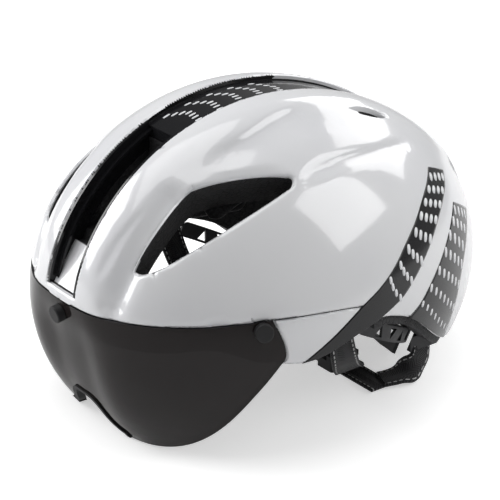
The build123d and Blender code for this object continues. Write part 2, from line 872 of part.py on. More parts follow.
def cradle_frame():
    """Carrier of the dial: inner plate, guide walls over and under the racks, nape web and tongue."""
    guide_low = dial_rise - strip_drop - rack_wall - housing_play
    guide_high = dial_rise + strip_drop + rack_wall + housing_play
    middle, wall = (plate_front + plate_back) / 2, plate_back - plate_front
    frame = ring(plate_in - housing_wall / 2, housing_wall, housing_low, housing_high, -housing_angle, housing_angle)
    frame = frame + ring(middle, wall, housing_low, guide_low, -housing_angle, housing_angle)
    frame = frame + ring(middle, wall, guide_high, housing_high, -housing_angle, housing_angle)
    web = ring(plate_out + housing_wall / 2, housing_wall, -nape_drop, housing_low / 2, -nape_angle, nape_angle)
    frame = frame + web
    tongue_half = tongue_width / 2
    frame = frame + block((-tongue_half, plate_out, guide_high), (tongue_half, plate_back, tongue_top))
    for i, angle in enumerate(nape_hole_angles):
        hole = triangle(nape_hole, 1 - 2 * (i % 2))
        frame = frame - radial_prism(hole, angle, -nape_hole_drop)
        frame = frame - radial_prism(hole, -angle, -nape_hole_drop)
    frame = frame - disc(dial_plane, shaft_radius + running_gap, plate_front - overrun, plate_back)
    table = block((-shell_half_width, 0, -stand_depth - overrun), (shell_half_width, rear_reach, -stand_depth))
    return (band_frame * frame) - table


def dial_cover():
    guide_low = dial_rise - strip_drop - rack_wall - housing_play
    guide_high = dial_rise + strip_drop + rack_wall + housing_play
    cover = ring(plate_out + housing_wall / 2, housing_wall, guide_low, guide_high, -housing_angle, housing_angle)
    bore = disc(dial_plane, shaft_radius + running_gap, plate_out - overrun, plate_back + overrun)
    return band_frame * (cover - bore)


def nape_pad():
    low, high = housing_low + pad_step, housing_high - pad_step
    back = plate_front - soft_gap
    half, step = pad_wall / 3, housing_angle * running_gap
    pad = ring(back - half / 2, half, low, high, -housing_angle + step, housing_angle - step)
    end = housing_angle - 2 * step
    inner = ring(back - half, half * 2, low + pad_step, high - pad_step, -end, end)
    screw_hole = disc(dial_plane, screw_head_radius + screw_radius, plate_front - overrun, plate_front)
    return band_frame * ((pad + inner) - screw_hole)


def band_groove():
    """Room in the liner for the arms, the racks and the whole cradle as it slides along the band's axis."""
    half = band_height / 2 + groove_play
    wall = band_wall + 2 * groove_side
    front_end = band_front_angle + band_tip_angle
    side_cut = ring(band_radius, wall, -half - height_travel, half, -front_end, front_end)
    rise_end = band_rise_angle + band_rise_span + band_tip_angle
    rear_top = dial_rise + strip_drop + rack_wall + groove_play
    rear_cut = ring(band_radius, wall, -half, rear_top, -rise_end, rise_end)
    return band_frame * (side_cut + rear_cut)


def height_rail(liner):
    """Rail fixed to the liner, in which the cradle's tongue slides."""
    half = rail_width / 2
    front = plate_out - running_gap - rail_lip
    rail = block((-half, front, rail_low), (half, front + rail_depth, rail_high))
    slot_half = tongue_width / 2 + running_gap
    low, high = rail_low - rail_lip, rail_high + rail_lip
    slot = block((-slot_half, plate_out - running_gap, low), (slot_half, plate_back + running_gap, high))
    window = rail_window / 2
    opening = block((-window, front - rail_lip, low), (window, plate_out, high))
    return (band_frame * ((rail - slot) - opening)) - liner


# Pads, held on the liner's inner face
@functools.cache
def cavity_layer(outer_inset, inner_inset):
    return between(dome_skin(cavity_form, outer_inset), dome_skin(cavity_form, inner_inset))


def pad(low_outline, inner_outline):
    """Cushion of two steps: a full lower one and a drawn-in upper one."""
    base_top = soft_gap + pad_wall - pad_step
    low_layer = cavity_layer(soft_gap, base_top) & low_outline
    return low_layer + (cavity_layer(base_top, soft_gap + pad_wall) & inner_outline)


def rounded_pad(plane, centre, size, low, high):
    """Pad whose outline is a rounded rectangle seen along the plane's normal."""
    outlines = []
    for step in (0, pad_step):
        with BuildSketch(plane) as sketch:
            with Locations(centre):
                RectangleRounded(size[0] - 2 * step, size[1] - 2 * step, pad_round)
        face = sketch.sketch.moved(Location(plane.z_dir * low))
        outlines.append(extrude(face, high - low, dir=plane.z_dir))
    return pad(*outlines)


# Straps, dividers and chin buckle
def ribbon(points, hints):
    """Flat strap along a smooth line; each hint points across the strap."""
    path = Spline(*points)
    wires = []
    for i in range(web_steps + 1):
        share = i / web_steps
        place = share * (len(hints) - 1)
        before = min(int(place), len(hints) - 2)
        blend = place - before
        hint = Vector(*hints[before]) * (1 - blend) + Vector(*hints[before + 1]) * blend
        run = path.tangent_at(share)
        across = (hint - run * hint.dot(run)).normalized()
        section = Plane(origin=path.position_at(share), x_dir=across, z_dir=run) * Rectangle(web_width, web_wall)
        wires.append(section.wire())
    return Solid.make_loft(wires, ruled=True)


# Places of the straps' middle lines, as shares of the shell's half width, half length and stand depth
front_leg_shares = [
    (0.7605, 0.0075, 0.207), (0.758, 0.015, 0.05), (0.754, 0.038, -0.155), (0.728, 0.076, -0.4),
    (0.6, 0.175, -0.66), (0.46, 0.285, -0.845),
]
rear_leg_shares = [
    (0.614, 0.562, -0.665), (0.631, 0.545, -0.776), (0.629, 0.494, -0.877), (0.601, 0.432, -0.932),
    (0.574, 0.377, -0.948),
]
along_head = (0, 1, 0)
across_head = (1, 0, 0)
down_back = (0, 0.7, -0.7)


def strap_points(shares):
    return [(x * shell_half_width, y * half_length, z * stand_depth) for x, y, z in shares]


def strap_front():
    """Front leg of the left strap, from the temple down to the top of the divider's slot."""
    points = strap_points(front_leg_shares)
    inside = divider_side + divider_length / 2
    rise = lane_rise + web_wall + strap_gap - stand_depth
    for i in range(3):
        points = points + [(inside - (i - 1 / 2) * divider_length / 3, lane_back, rise)]
    return ribbon(points, [along_head] * len(points))


def strap_rear():
    """Rear leg of the left strap, its fold over the lower run and that run to the buckle."""
    leg = ribbon(strap_points(rear_leg_shares), [down_back, down_back, across_head, across_head])
    half, wall = web_width / 2, web_wall / 2
    low = lane_rise - stand_depth
    end = buckle_half - mouth_depth + strap_tuck
    return leg + block((end, lane_back - half, low - wall), (fold_side, lane_back + half, low + wall))


def anchor_front(strap, liner):
    """Plate that holds the front leg against the liner's inner face."""
    x, y, z = strap_points(front_leg_shares)[0]
    low = (x - anchor_wall / 2, y - anchor_length / 2, z - anchor_height / 2)
    high = (x + anchor_wall / 2, y + anchor_length / 2, z + anchor_height / 2)
    return (block(low, high) - strap) - liner


def anchor_rear(strap, liner):
    """Clip that holds the rear leg's top end under the liner's rim."""
    x, y, z = strap_points(rear_leg_shares)[0]
    low = (x - anchor_wall / 2, y - anchor_length / 2, z - anchor_height / 4)
    high = (x + anchor_wall / 2, y + anchor_length / 2, z + anchor_height)
    return ((block(low, high) - strap) - liner) - band_groove()


def divider():
    """Divider that joins two strap legs, with ears for its cam lever; the slot runs along X."""
    half_x, half_y = divider_length / 2, divider_width / 2
    body = block((-half_x, -half_y, 0), (half_x, half_y, divider_height))
    body = fillet(body.edges().filter_by(Axis.Z), ear_wall)
    slot = web_width / 2 + soft_gap
    end = half_x + ear_wall
    body = body - block((-end, -slot, divider_floor), (end, slot, divider_floor + divider_slot))
    ear_low = lever_pin_side - ear_length / 2
    for low in (half_y - ear_wall, -half_y):
        top = (ear_low + ear_length, low + ear_wall, divider_height + ear_height)
        body = body + block((ear_low, low, divider_height), top)
    return body - pin_axis(lever_pin_radius + running_gap / 2, divider_width)


def pin_axis(radius, length):
    pin = Plane(origin=(lever_pin_side, -length / 2, lever_pin_rise), x_dir=(1, 0, 0), z_dir=(0, 1, 0))
    return disc(pin, radius, 0, length)


def divider_lever():
    """Cam lever, closed flat over the divider; its pin turns in the divider's ears."""
    half_y = divider_width / 2 - ear_wall - lever_gap
    low = divider_height + lever_gap
    plate = block((lever_pin_side - lever_length, -half_y, low), (lever_pin_side, half_y, low + lever_wall))
    plate = fillet(plate.edges().filter_by(Axis.Z).sort_by(Axis.X)[:2], ear_wall)
    return plate + pin_axis(barrel_radius, 2 * half_y) + pin_axis(lever_pin_radius, divider_width)


def buckle_end(start, end):
    """One half of the buckle's body with its strap mouth, between two places along X."""
    half = buckle_width / 2
    body = block((start, -half, 0), (end, half, buckle_height))
    outer = body.edges().filter_by(Axis.Z).filter_by(lambda edge: abs(edge.center().X) > buckle_half / 2)
    body = fillet(outer, buckle_round)
    mouth_half = web_width / 2 + soft_gap
    low = lane_rise - web_wall / 2 - mouth_play
    way = 1 if end > 0 else -1
    deep, out = sorted((way * (buckle_half - mouth_depth), way * (buckle_half + buckle_wall)))
    return body - block((deep, -mouth_half, low), (out, mouth_half, low + web_wall + 2 * mouth_play))


def buckle_socket():
    body = buckle_end(-buckle_split, buckle_half)
    inside = buckle_width / 2 - buckle_wall - soft_gap
    low, high = buckle_wall, buckle_height - buckle_wall
    body = body - block((-buckle_half, -inside, low), (socket_depth, inside, high))
    return body - block((barb_start - soft_gap, -buckle_width, low), (prong_reach + soft_gap, buckle_width, high))


def buckle_plug():
    body = buckle_end(-buckle_half, -buckle_split - soft_gap)
    low, high = buckle_wall + mouth_play, buckle_height - buckle_wall - mouth_play
    outside = prong_place + prong_width
    start = -2 * buckle_split
    for way in (1, -1):
        near, away = sorted((way * prong_place, way * outside))
        body = body + block((start, near, low), (prong_reach, away, high))
        near, away = sorted((way * outside, way * (outside + barb_height)))
        body = body + block((barb_start, near, low), (prong_reach - soft_gap, away, high))
    guide = prong_width / 2
    return body + block((start, -guide, low), (prong_reach, guide, high))


def strap_keeper():
    """Rubber loop round the right strap's lower run."""
    half, width = keeper_length / 2, keeper_width / 2
    loop = block((-keeper_place - half, -width, keeper_low), (half - keeper_place, width, keeper_high))
    loop = fillet(loop.edges().filter_by(Axis.X), keeper_round)
    inside = web_width / 2 + soft_gap
    low = lane_rise - web_wall / 2 - soft_gap
    return loop - block((-overrun, -inside, low), (0, inside, low + web_wall + 2 * soft_gap))


def place_node(part, name):
    """Stand the part on the table and write it as one file."""
    shift = Location((0, -mid_shift, stand_depth))
    solids = [solid.moved(shift) for solid in part.solids()]
    export_step(Compound(children=solids) if len(solids) > 1 else solids[0], f"parts/{name}.step")


def shell_parts(liner):
    grille = brow_grille()
    trim_right, trim_left = channel_trim()
    parts = {
        "outer_shell": outer_shell(),
        "lower_shell": lower_shell(),
        "spine_panel": spine_panel(),
        "channel_trim_left": trim_left,
        "channel_trim_right": trim_right,
        "channel_ramp": ramp_zone(0),
        "brow_grille_left": grille,
        "brow_grille_right": mirrored(grille),
        "height_rail": height_rail(liner),
    }
    parts.update(liner_parts(liner))
    for name, plane in button_planes().items():
        parts["shell_magnet_" + name] = disc(plane, magnet_radius, seat_top - magnet_height, seat_top)
    return parts


def visor_parts():
    lens = visor_lens()
    parts = {"visor_lens": lens, "nose_pad": nose_pad(lens)}
    for name, plane in button_planes().items():
        parts["visor_button_" + name] = visor_button(plane)
        parts["visor_magnet_" + name] = disc(plane, magnet_radius, -lens_wall, magnet_height - lens_wall)
    return parts


def band_parts():
    return {
        "band_arm_left": band_frame * band_arm(-1),
        "band_arm_right": band_frame * band_arm(1),
        "dial_pinion": band_frame * dial_pinion(),
        "dial_knob": band_frame * dial_knob(),
        "dial_screw": band_frame * dial_screw(),
        "cradle_frame": cradle_frame(),
        "dial_cover": dial_cover(),
        "nape_pad": nape_pad(),
    }


def pad_parts():
    crown = rounded_pad(Plane.XY, crown_pad_place, crown_pad_size, 0, crown_height)
    temple = rounded_pad(Plane.YZ, temple_pad_place, temple_pad_size, 0, shell_half_width)
    rear_side = rounded_pad(Plane.YZ, side_pad_place, side_pad_size, 0, shell_half_width)
    return {
        "brow_pad": rounded_pad(Plane.XZ, brow_pad_place, brow_pad_size, 0, front_reach),
        "rear_pad": rounded_pad(Plane.XZ, rear_pad_place, rear_pad_size, -rear_reach, 0),
        "crown_pad_left": crown,
        "crown_pad_right": mirrored(crown),
        "temple_pad_left": temple,
        "temple_pad_right": mirrored(temple),
        "side_pad_left": rear_side,
        "side_pad_right": mirrored(rear_side),
    }


def strap_parts(liner):
    front, rear = strap_front(), strap_rear()
    front_anchor, rear_anchor = anchor_front(front, liner), anchor_rear(rear, liner)
    left = Location((divider_side, lane_back, -stand_depth))
    right = Location((-divider_side, lane_back, -stand_depth), (0, 0, 180))
    middle = Location((0, lane_back, -stand_depth))
    return {
        "strap_front_left": front,
        "strap_front_right": mirrored(front),
        "strap_rear_left": rear,
        "strap_rear_right": mirrored(rear),
        "anchor_front_left": front_anchor,
        "anchor_front_right": mirrored(front_anchor),
        "anchor_rear_left": rear_anchor,
        "anchor_rear_right": mirrored(rear_anchor),
        "divider_left": left * divider(),
        "divider_right": right * divider(),
        "divider_lever_left": left * divider_lever(),
        "divider_lever_right": right * divider_lever(),
        "buckle_socket": middle * buckle_socket(),
        "buckle_plug": middle * buckle_plug(),
        "strap_keeper": middle * strap_keeper(),
    }


if __name__ == "__main__":
    os.makedirs("parts", exist_ok=True)
    whole_liner = foam_liner()
    nodes = shell_parts(whole_liner)
    nodes.update(visor_parts())
    nodes.update(band_parts())
    nodes.update(pad_parts())
    nodes.update(strap_parts(whole_liner))
    for node_name, node in nodes.items():
        place_node(node, node_name)
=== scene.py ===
import math

import bmesh
import bpy
import numpy as np
from mathutils import Matrix, Vector
from mathutils.kdtree import KDTree


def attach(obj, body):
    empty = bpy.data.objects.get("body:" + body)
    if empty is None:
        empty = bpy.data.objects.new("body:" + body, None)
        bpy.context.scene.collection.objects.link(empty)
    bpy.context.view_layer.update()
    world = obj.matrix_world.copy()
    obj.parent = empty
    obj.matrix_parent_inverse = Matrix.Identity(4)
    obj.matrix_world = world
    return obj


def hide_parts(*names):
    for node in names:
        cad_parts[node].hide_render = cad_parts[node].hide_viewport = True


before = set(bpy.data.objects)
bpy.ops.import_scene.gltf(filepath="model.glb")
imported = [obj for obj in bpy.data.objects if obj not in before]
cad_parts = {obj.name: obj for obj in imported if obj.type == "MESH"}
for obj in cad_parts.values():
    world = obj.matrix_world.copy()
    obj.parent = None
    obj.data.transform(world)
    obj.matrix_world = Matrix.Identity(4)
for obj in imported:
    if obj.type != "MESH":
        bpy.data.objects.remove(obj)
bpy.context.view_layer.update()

mm = 0.001
print("stage: frame loaded")

# camera, at the photograph's viewing angle
cameraFacts = {
    "azimuth": 53.3235, "elevation": 24.4867, "distance": 1.0,
    "lens": 132.42, "sensor": 36, "shiftX": 0.0106, "shiftY": 0.0510, "clip": (0.05, 20),
}
earLine = Vector((0, -12.4 * mm, 58 * mm))  # the shell's form is drawn round this point


def makeCamera(facts):
    turn, rise = math.radians(facts["azimuth"]), math.radians(facts["elevation"])
    back = Vector((math.sin(turn) * math.cos(rise), -math.cos(turn) * math.cos(rise), math.sin(rise)))
    right = Vector((math.cos(turn), math.sin(turn), 0))
    up = back.cross(right)
    data = bpy.data.cameras.new("photoCamera")
    data.lens, data.sensor_width = facts["lens"], facts["sensor"]
    data.shift_x, data.shift_y = facts["shiftX"], facts["shiftY"]
    data.clip_start, data.clip_end = facts["clip"]
    camera = bpy.data.objects.new("photoCamera", data)
    bpy.context.scene.collection.objects.link(camera)
    turned = Matrix((right, up, back)).transposed().to_4x4()
    camera.matrix_world = Matrix.Translation(earLine + back * facts["distance"]) @ turned
    bpy.context.scene.camera = camera


makeCamera(cameraFacts)
print("stage: camera made")


# finishes
class Wire:
    # one output of a shader node, so that maths on it reads as plain arithmetic
    def __init__(self, finish, socket):
        self.finish, self.socket = finish, socket

    def maths(self, operation, *values):
        return self.finish.node("ShaderNodeMath", {"operation": operation}, dict(enumerate(values)))

    def __add__(self, other):
        return self.maths("ADD", self, other)

    def __mul__(self, other):
        return self.maths("MULTIPLY", self, other)

    def __sub__(self, other):
        return self.maths("SUBTRACT", self, other)

    def __rsub__(self, other):
        return self.maths("SUBTRACT", other, self)

    def __truediv__(self, other):
        return self.maths("DIVIDE", self, other)

    def __abs__(self):
        return self.maths("ABSOLUTE", self)

    __radd__ = __add__
    __rmul__ = __mul__


class Finish:
    def __init__(self, name, **sockets):
        self.material = bpy.data.materials.new(name)
        self.material.use_nodes = True
        self.tree = self.material.node_tree
        self.shader = self.tree.nodes["Principled BSDF"]
        for label, value in sockets.items():
            self.shader.inputs[label.replace("_", " ")].default_value = value

    def node(self, kind, settings=None, sockets=None, out=0):
        made = self.tree.nodes.new(kind)
        for key, value in (settings or {}).items():
            setattr(made, key, value)
        for key, value in (sockets or {}).items():
            if isinstance(value, Wire):
                self.tree.links.new(value.socket, made.inputs[key])
            else:
                made.inputs[key].default_value = value
        return Wire(self, made.outputs[out])

    def place(self):
        return self.node("ShaderNodeTexCoord", out="Object")

    def split(self, wire):
        first = self.node("ShaderNodeSeparateXYZ", sockets={0: wire})
        return [Wire(self, socket) for socket in first.socket.node.outputs]

    def noise(self, scale, detail=3.0):
        sockets = {"Vector": self.place(), "Scale": scale, "Detail": detail}
        return self.node("ShaderNodeTexNoise", sockets=sockets)

    def cells(self, scale, feature):
        sockets = {"Vector": self.place(), "Scale": scale}
        return self.node("ShaderNodeTexVoronoi", {"feature": feature}, sockets)

    def ramp(self, wire, low, high, start=0.0, end=1.0):
        settings = {"interpolation_type": "SMOOTHSTEP"}
        return self.node("ShaderNodeMapRange", settings, {0: wire, 1: low, 2: high, 3: start, 4: end})

    def blend(self, factor, tones):
        first, second = ((*tone, 1) for tone in tones)
        return self.node("ShaderNodeMix", {"data_type": "RGBA"}, {0: factor, 6: first, 7: second}, out=2)

    def feed(self, label, wire):
        self.tree.links.new(wire.socket, self.shader.inputs[label])

    def roughen(self, scale, spread, least, detail=3.0):
        self.feed("Roughness", self.noise(scale, detail) * spread + least)

    def relief(self, height, strength, distance):
        sockets = {"Height": height, "Strength": strength, "Distance": distance}
        self.feed("Normal", self.node("ShaderNodeBump", sockets=sockets))


# plain finishes: two tones in soft patches, an uneven roughness and a fine grain
# scales are per metre, distances in metres
plainFinishes = {
    "gloss": {
        "name": "blackGloss", "sockets": {"Coat_Weight": 0.2, "Coat_Roughness": 0.03, "Specular_IOR_Level": 0.3},
        "tones": ((0.008, 0.008, 0.009), (0.016, 0.016, 0.018)), "patches": {"scale": 40.0},
        "rough": {"scale": 90.0, "spread": 0.08, "least": 0.08},
        "grain": {"scale": 300.0, "detail": 1.0}, "relief": {"strength": 0.03, "distance": 0.0004}},
    "trim": {
        "name": "blackTrim", "sockets": {"Coat_Weight": 0.15, "Coat_Roughness": 0.2},
        "tones": ((0.012, 0.012, 0.013), (0.022, 0.022, 0.024)), "patches": {"scale": 70.0},
        "rough": {"scale": 200.0, "spread": 0.15, "least": 0.25},
        "grain": {"scale": 900.0, "detail": 2.0}, "relief": {"strength": 0.06, "distance": 0.0003}},
    "nylon": {
        "name": "mouldedNylon", "sockets": {"Specular_IOR_Level": 0.45},
        "tones": ((0.014, 0.014, 0.016), (0.026, 0.026, 0.029)), "patches": {"scale": 90.0},
        "rough": {"scale": 260.0, "spread": 0.18, "least": 0.36},
        "grain": {"scale": 1500.0, "detail": 2.0}, "relief": {"strength": 0.12, "distance": 0.0003}},
    "rubber": {
        "name": "softRubber", "sockets": {"Specular_IOR_Level": 0.35},
        "tones": ((0.010, 0.010, 0.011), (0.020, 0.020, 0.021)), "patches": {"scale": 120.0},
        "rough": {"scale": 300.0, "spread": 0.15, "least": 0.5},
        "grain": {"scale": 1200.0, "detail": 2.0}, "relief": {"strength": 0.1, "distance": 0.0003}},
    "steel": {
        "name": "magnetSteel", "sockets": {"Metallic": 1.0},
        "tones": ((0.45, 0.45, 0.46), (0.62, 0.62, 0.63)), "patches": {"scale": 400.0},
        "rough": {"scale": 500.0, "spread": 0.2, "least": 0.22}},
    "lens": {
        "name": "smokedLens", "sockets": {"Alpha": 0.915, "Specular_IOR_Level": 0.2},
        "tones": ((0.017, 0.0135, 0.0135), (0.020, 0.0165, 0.016)), "patches": {"scale": 9.0, "detail": 1.0},
        "rough": {"scale": 50.0, "spread": 0.03, "least": 0.04}},
    "lensEdge": {
        "name": "lensEdge", "sockets": {"Alpha": 0.97},
        "tones": ((0.006, 0.006, 0.007), (0.012, 0.011, 0.012)), "patches": {"scale": 30.0},
        "rough": {"scale": 90.0, "spread": 0.1, "least": 0.12}},
    "ink": {
        "name": "whiteInk", "sockets": {},
        "tones": ((0.84, 0.85, 0.87), (0.90, 0.91, 0.93)), "patches": {"scale": 60.0},
        "rough": {"scale": 90.0, "spread": 0.1, "least": 0.16}},
}


def plainFinish(facts):
    finish = Finish(facts["name"], **facts["sockets"])
    finish.feed("Base Color", finish.blend(finish.noise(**facts["patches"]), facts["tones"]))
    finish.roughen(**facts["rough"])
    if "grain" in facts:
        finish.relief(finish.noise(**facts["grain"]), **facts["relief"])
    return finish.material


shellLook = {
    "tones": ((0.84, 0.845, 0.86), (0.80, 0.805, 0.83)),
    "patches": {"scale": 14.0, "detail": 2.0}, "patchEnds": (0.35, 0.7),
    "rough": {"scale": 60.0, "spread": 0.07, "least": 0.10, "detail": 2.0},
    "grain": {"scale": 350.0, "detail": 1.0}, "relief": {"strength": 0.03, "distance": 0.0004},
}


def whiteShellFinish():
    finish = Finish("whiteShell", Coat_Weight=0.5, Coat_Roughness=0.04)
    patches = finish.ramp(finish.noise(**shellLook["patches"]), *shellLook["patchEnds"])
    finish.feed("Base Color", finish.blend(patches, shellLook["tones"]))
    finish.roughen(**shellLook["rough"])
    finish.relief(finish.noise(**shellLook["grain"]), **shellLook["relief"])
    return finish.material


foamLook = {
    "tones": ((0.012, 0.012, 0.013), (0.045, 0.045, 0.047)), "beads": 360.0, "seam": 0.12,  # beads of about 3 mm
    "patches": 25.0, "grain": 700.0, "grainShare": 0.3, "rough": {"scale": 200.0, "spread": 0.2, "least": 0.55},
    "relief": {"strength": 0.55, "distance": 0.0008},
}


def foamFinish():
    finish = Finish("beadFoam", Specular_IOR_Level=0.3)
    seamLine = finish.ramp(finish.cells(foamLook["beads"], "DISTANCE_TO_EDGE"), 0.0, foamLook["seam"])
    tone = finish.noise(foamLook["patches"]) * 0.5 + seamLine * 0.5
    finish.feed("Base Color", finish.blend(tone, foamLook["tones"]))
    finish.roughen(**foamLook["rough"])
    share = foamLook["grainShare"]
    finish.relief(seamLine * (1 - share) + finish.noise(foamLook["grain"]) * share, **foamLook["relief"])
    return finish.material


padLook = {
    "tones": ((0.030, 0.030, 0.033), (0.010, 0.010, 0.011)), "stitches": 900.0, "stitchEnds": (0.1, 0.7),
    "rough": {"scale": 80.0, "spread": 0.1, "least": 0.82}, "relief": {"strength": 0.5, "distance": 0.0004},
}


def padClothFinish():
    finish = Finish("padCloth", Sheen_Weight=0.5, Sheen_Roughness=0.4, Specular_IOR_Level=0.2)
    stitches = finish.cells(padLook["stitches"], "SMOOTH_F1")
    finish.feed("Base Color", finish.blend(finish.ramp(stitches, *padLook["stitchEnds"]), padLook["tones"]))
    finish.roughen(**padLook["rough"])
    finish.relief(1 - stitches, **padLook["relief"])
    return finish.material


# lengths along and across the strap in millimetres, as its uv map gives them
webbingLook = {
    "tones": ((0.008, 0.008, 0.009), (0.030, 0.030, 0.033)), "thread": (0.62, 0.62, 0.62, 1),
    "fold": 3.75, "ribs": 4.2, "middle": 7.5,
    "seam": 6.1, "seamEnds": (0.28, 0.42), "stitch": 3.3, "stitchShare": 0.6,  # seam is measured from the middle
    "roughCloth": 0.78, "threadGloss": 0.2, "relief": {"strength": 0.6, "distance": 0.0004},
}


def webbingFinish():
    look = webbingLook
    finish = Finish("webbing", Sheen_Weight=0.25, Specular_IOR_Level=0.3)
    along, across, _ = finish.split(finish.node("ShaderNodeUVMap", {"uv_map": "strapPlace"}))
    fold = across.maths("PINGPONG", across, look["fold"])
    rib = along.maths("SINE", (along + fold) * look["ribs"])
    weave = rib * 0.5 + 0.5
    lane = abs(abs(across - look["middle"]) - look["seam"])  # how far a spot lies from either row of stitches
    dash = along.maths("LESS_THAN", along.maths("FRACT", along / look["stitch"]), look["stitchShare"])
    stitch = finish.ramp(lane, *look["seamEnds"], 1.0, 0.0) * dash
    sockets = {0: stitch, 6: finish.blend(weave, look["tones"]), 7: look["thread"]}
    finish.feed("Base Color", finish.node("ShaderNodeMix", {"data_type": "RGBA"}, sockets, out=2))
    finish.feed("Roughness", look["roughCloth"] - stitch * look["threadGloss"])
    finish.relief(weave + stitch, **look["relief"])
    return finish.material


finishes = {name: plainFinish(facts) for name, facts in plainFinishes.items()}
finishes.update(white=whiteShellFinish(), foam=foamFinish(), padCloth=padClothFinish(), webbing=webbingFinish())
print("stage: finishes made")

# the shell's form, as in the CAD source: points in millimetres from the ear line
shellForm = {
    "halfWidth": 101.0, "halfLength": 132.6, "skew": 12.4, "halfHeight": 103.75, "lift": 4.0, "taper": 0.0262,
    "flank": 0.0303, "rail": 0.0201, "railPlace": 0.24, "railSpread": 0.13,
    "noseFlat": 8.8, "noseWidth": 27.0, "noseHeight": 8.0, "noseFade": 14.0,
}


def formSize(way):
    nx, ny, nz = way.T
    upper = np.clip(2 * nz, 0, 1)
    spread = (np.abs(nx) - shellForm["railPlace"]) / shellForm["railSpread"]
    rail = shellForm["rail"] * upper * np.exp(-spread**2)
    return 1 + rail - shellForm["flank"] * (nx * nx * ny * ny + ny * ny * nz * nz + nx * nx * nz * nz)


def noseShare(x, z):
    low = (1 - np.tanh((z - shellForm["noseHeight"]) / shellForm["noseFade"])) / 2
    return shellForm["noseFlat"] * low / (1 + (x / shellForm["noseWidth"]) ** 4)


def toUnit(points, inset=0.0):
    # place of each point on the unit form; its length is the form's size on the skin
    x, y, z = points.T
    tall = shellForm["halfHeight"] - inset
    uz = (-tall + np.sqrt(np.maximum(tall**2 + 4 * shellForm["lift"] * z, 1))) / (2 * shellForm["lift"])
    deep = shellForm["halfLength"] - inset
    bend = shellForm["skew"] + np.where(y < 0, noseShare(x, z), 0)
    uy = (-deep + np.sqrt(np.maximum(deep**2 + 4 * bend * y, 1))) / (2 * bend)
    ux = x / ((shellForm["halfWidth"] - inset) * (1 - shellForm["taper"] * uy))
    return np.stack([ux, uy, uz], 1)


def fromUnit(unit, inset=0.0):
    ux, uy, uz = unit.T
    x = (shellForm["halfWidth"] - inset) * (1 - shellForm["taper"] * uy) * ux
    z = (shellForm["halfHeight"] - inset) * uz + shellForm["lift"] * uz**2
    y = (shellForm["halfLength"] - inset) * uy + shellForm["skew"] * uy**2
    return np.stack([x, y + noseShare(x, z) * np.minimum(uy, 0) ** 2, z], 1)


def depthShare(points, inset=0.0):
    unit = toUnit(points, inset)
    length = np.linalg.norm(unit, axis=1)
    return length / formSize(unit / length[:, None])


def ontoForm(points, inset=0.0):
    return fromUnit(toUnit(points, inset) / depthShare(points, inset)[:, None], inset)


def outward(points):
    step = 0.05
    slopes = [depthShare(points + shift) - depthShare(points - shift) for shift in np.eye(3) * step]
    normal = np.stack(slopes, 1)
    return normal / np.linalg.norm(normal, axis=1)[:, None]


def eased(share):
    return share * share * (3 - 2 * share)


def sampled(rows, share):
    # a line's columns, read at shares of its length
    steps = np.linspace(0, 1, len(rows))
    return np.stack([np.interp(share, steps, rows[:, k]) for k in range(3)], 1)


def throughPoints(points, count):
    # even steps along a smooth line through given points
    knots = np.array(points, float)
    run = np.r_[0, np.cumsum(np.linalg.norm(np.diff(knots, axis=0), axis=1))]
    slope = np.gradient(knots, run, axis=0)
    at = np.linspace(0, run[-1], count)
    cell = np.clip(np.searchsorted(run, at) - 1, 0, len(run) - 2)
    wide = (run[cell + 1] - run[cell])[:, None]
    t = (at - run[cell])[:, None] / wide
    first, second = knots[cell], knots[cell + 1]
    rise, fall = slope[cell] * wide, slope[cell + 1] * wide
    leave, arrive = t**3 - 2 * t**2 + t, t**3 - t**2
    return (1 - eased(t)) * first + leave * rise + eased(t) * second + arrive * fall


# soft creases and valleys pressed into the shell: a line of points, the depth, how far the hollow reaches
# towards the crown and towards the rim, and the length over which each end fades
creases = [
    {"name": "crownStep", "depth": 1.7, "up": 3.2, "down": 12.0, "fade": 26.0,
     "line": [(41.0, -60, 83.6), (38.8, -43.5, 92.0), (38.8, -25.7, 97.1), (36.0, -7.4, 101.8), (33.5, 8, 102.6),
              (32.7, 24, 101.5)]},
    {"name": "ventLip", "depth": 1.5, "up": 4.5, "down": 3.0, "fade": 16.0,
     "line": [(44.0, -62.0, 82.5), (49.0, -52.0, 85.0), (55.0, -39.0, 86.0), (60.0, -27.0, 85.4),
              (65.0, -17.5, 81.8)]},
    {"name": "groove", "depth": 1.9, "up": 3.4, "down": 5.0, "fade": 24.0,
     "line": [(66.0, -17.5, 79.0), (64.0, -4.0, 81.2), (61.6, 12, 82.2), (57.0, 42, 80.4), (50.5, 62, 77.0),
              (44.5, 80, 71.0)]},
    {"name": "frontValley", "depth": 3.4, "up": 8.0, "down": 5.5, "fade": 12.0,
     "line": [(35.0, -112.0, 16.0), (38.0, -108.5, 27.0), (39.6, -103.0, 38.0), (40.4, -99.0, 45.5),
              (40.6, -91.4, 56.8), (40.6, -82.6, 66.6), (40.2, -73.0, 75.2), (40.6, -64.0, 81.2)]},
    {"name": "frontStep", "depth": 1.1, "up": 2.6, "down": 9.0, "fade": 18.0,
     "line": [(26.6, -112.4, 30.8), (27.8, -106.9, 44.3), (32.8, -86.5, 69.1), (36.5, -70, 79.5)]},
]
creaseSteps = 90  # points on each crease's line
creaseTail = 2.6  # a hollow is followed out to this many times its reach


def onLeft(points):
    # every point moved to the left half
    return np.stack([np.abs(points[:, 0]), points[:, 1], points[:, 2]], 1)


def creaseLine(crease):
    return ontoForm(throughPoints(crease["line"], creaseSteps))


def pressed(points, batch=4000):
    # how far the skin lies below the plain form at each point, worked out in batches
    parts = [pressedPart(onLeft(points[i : i + batch])) for i in range(0, len(points), batch)]
    return np.concatenate(parts) if parts else np.zeros(0)


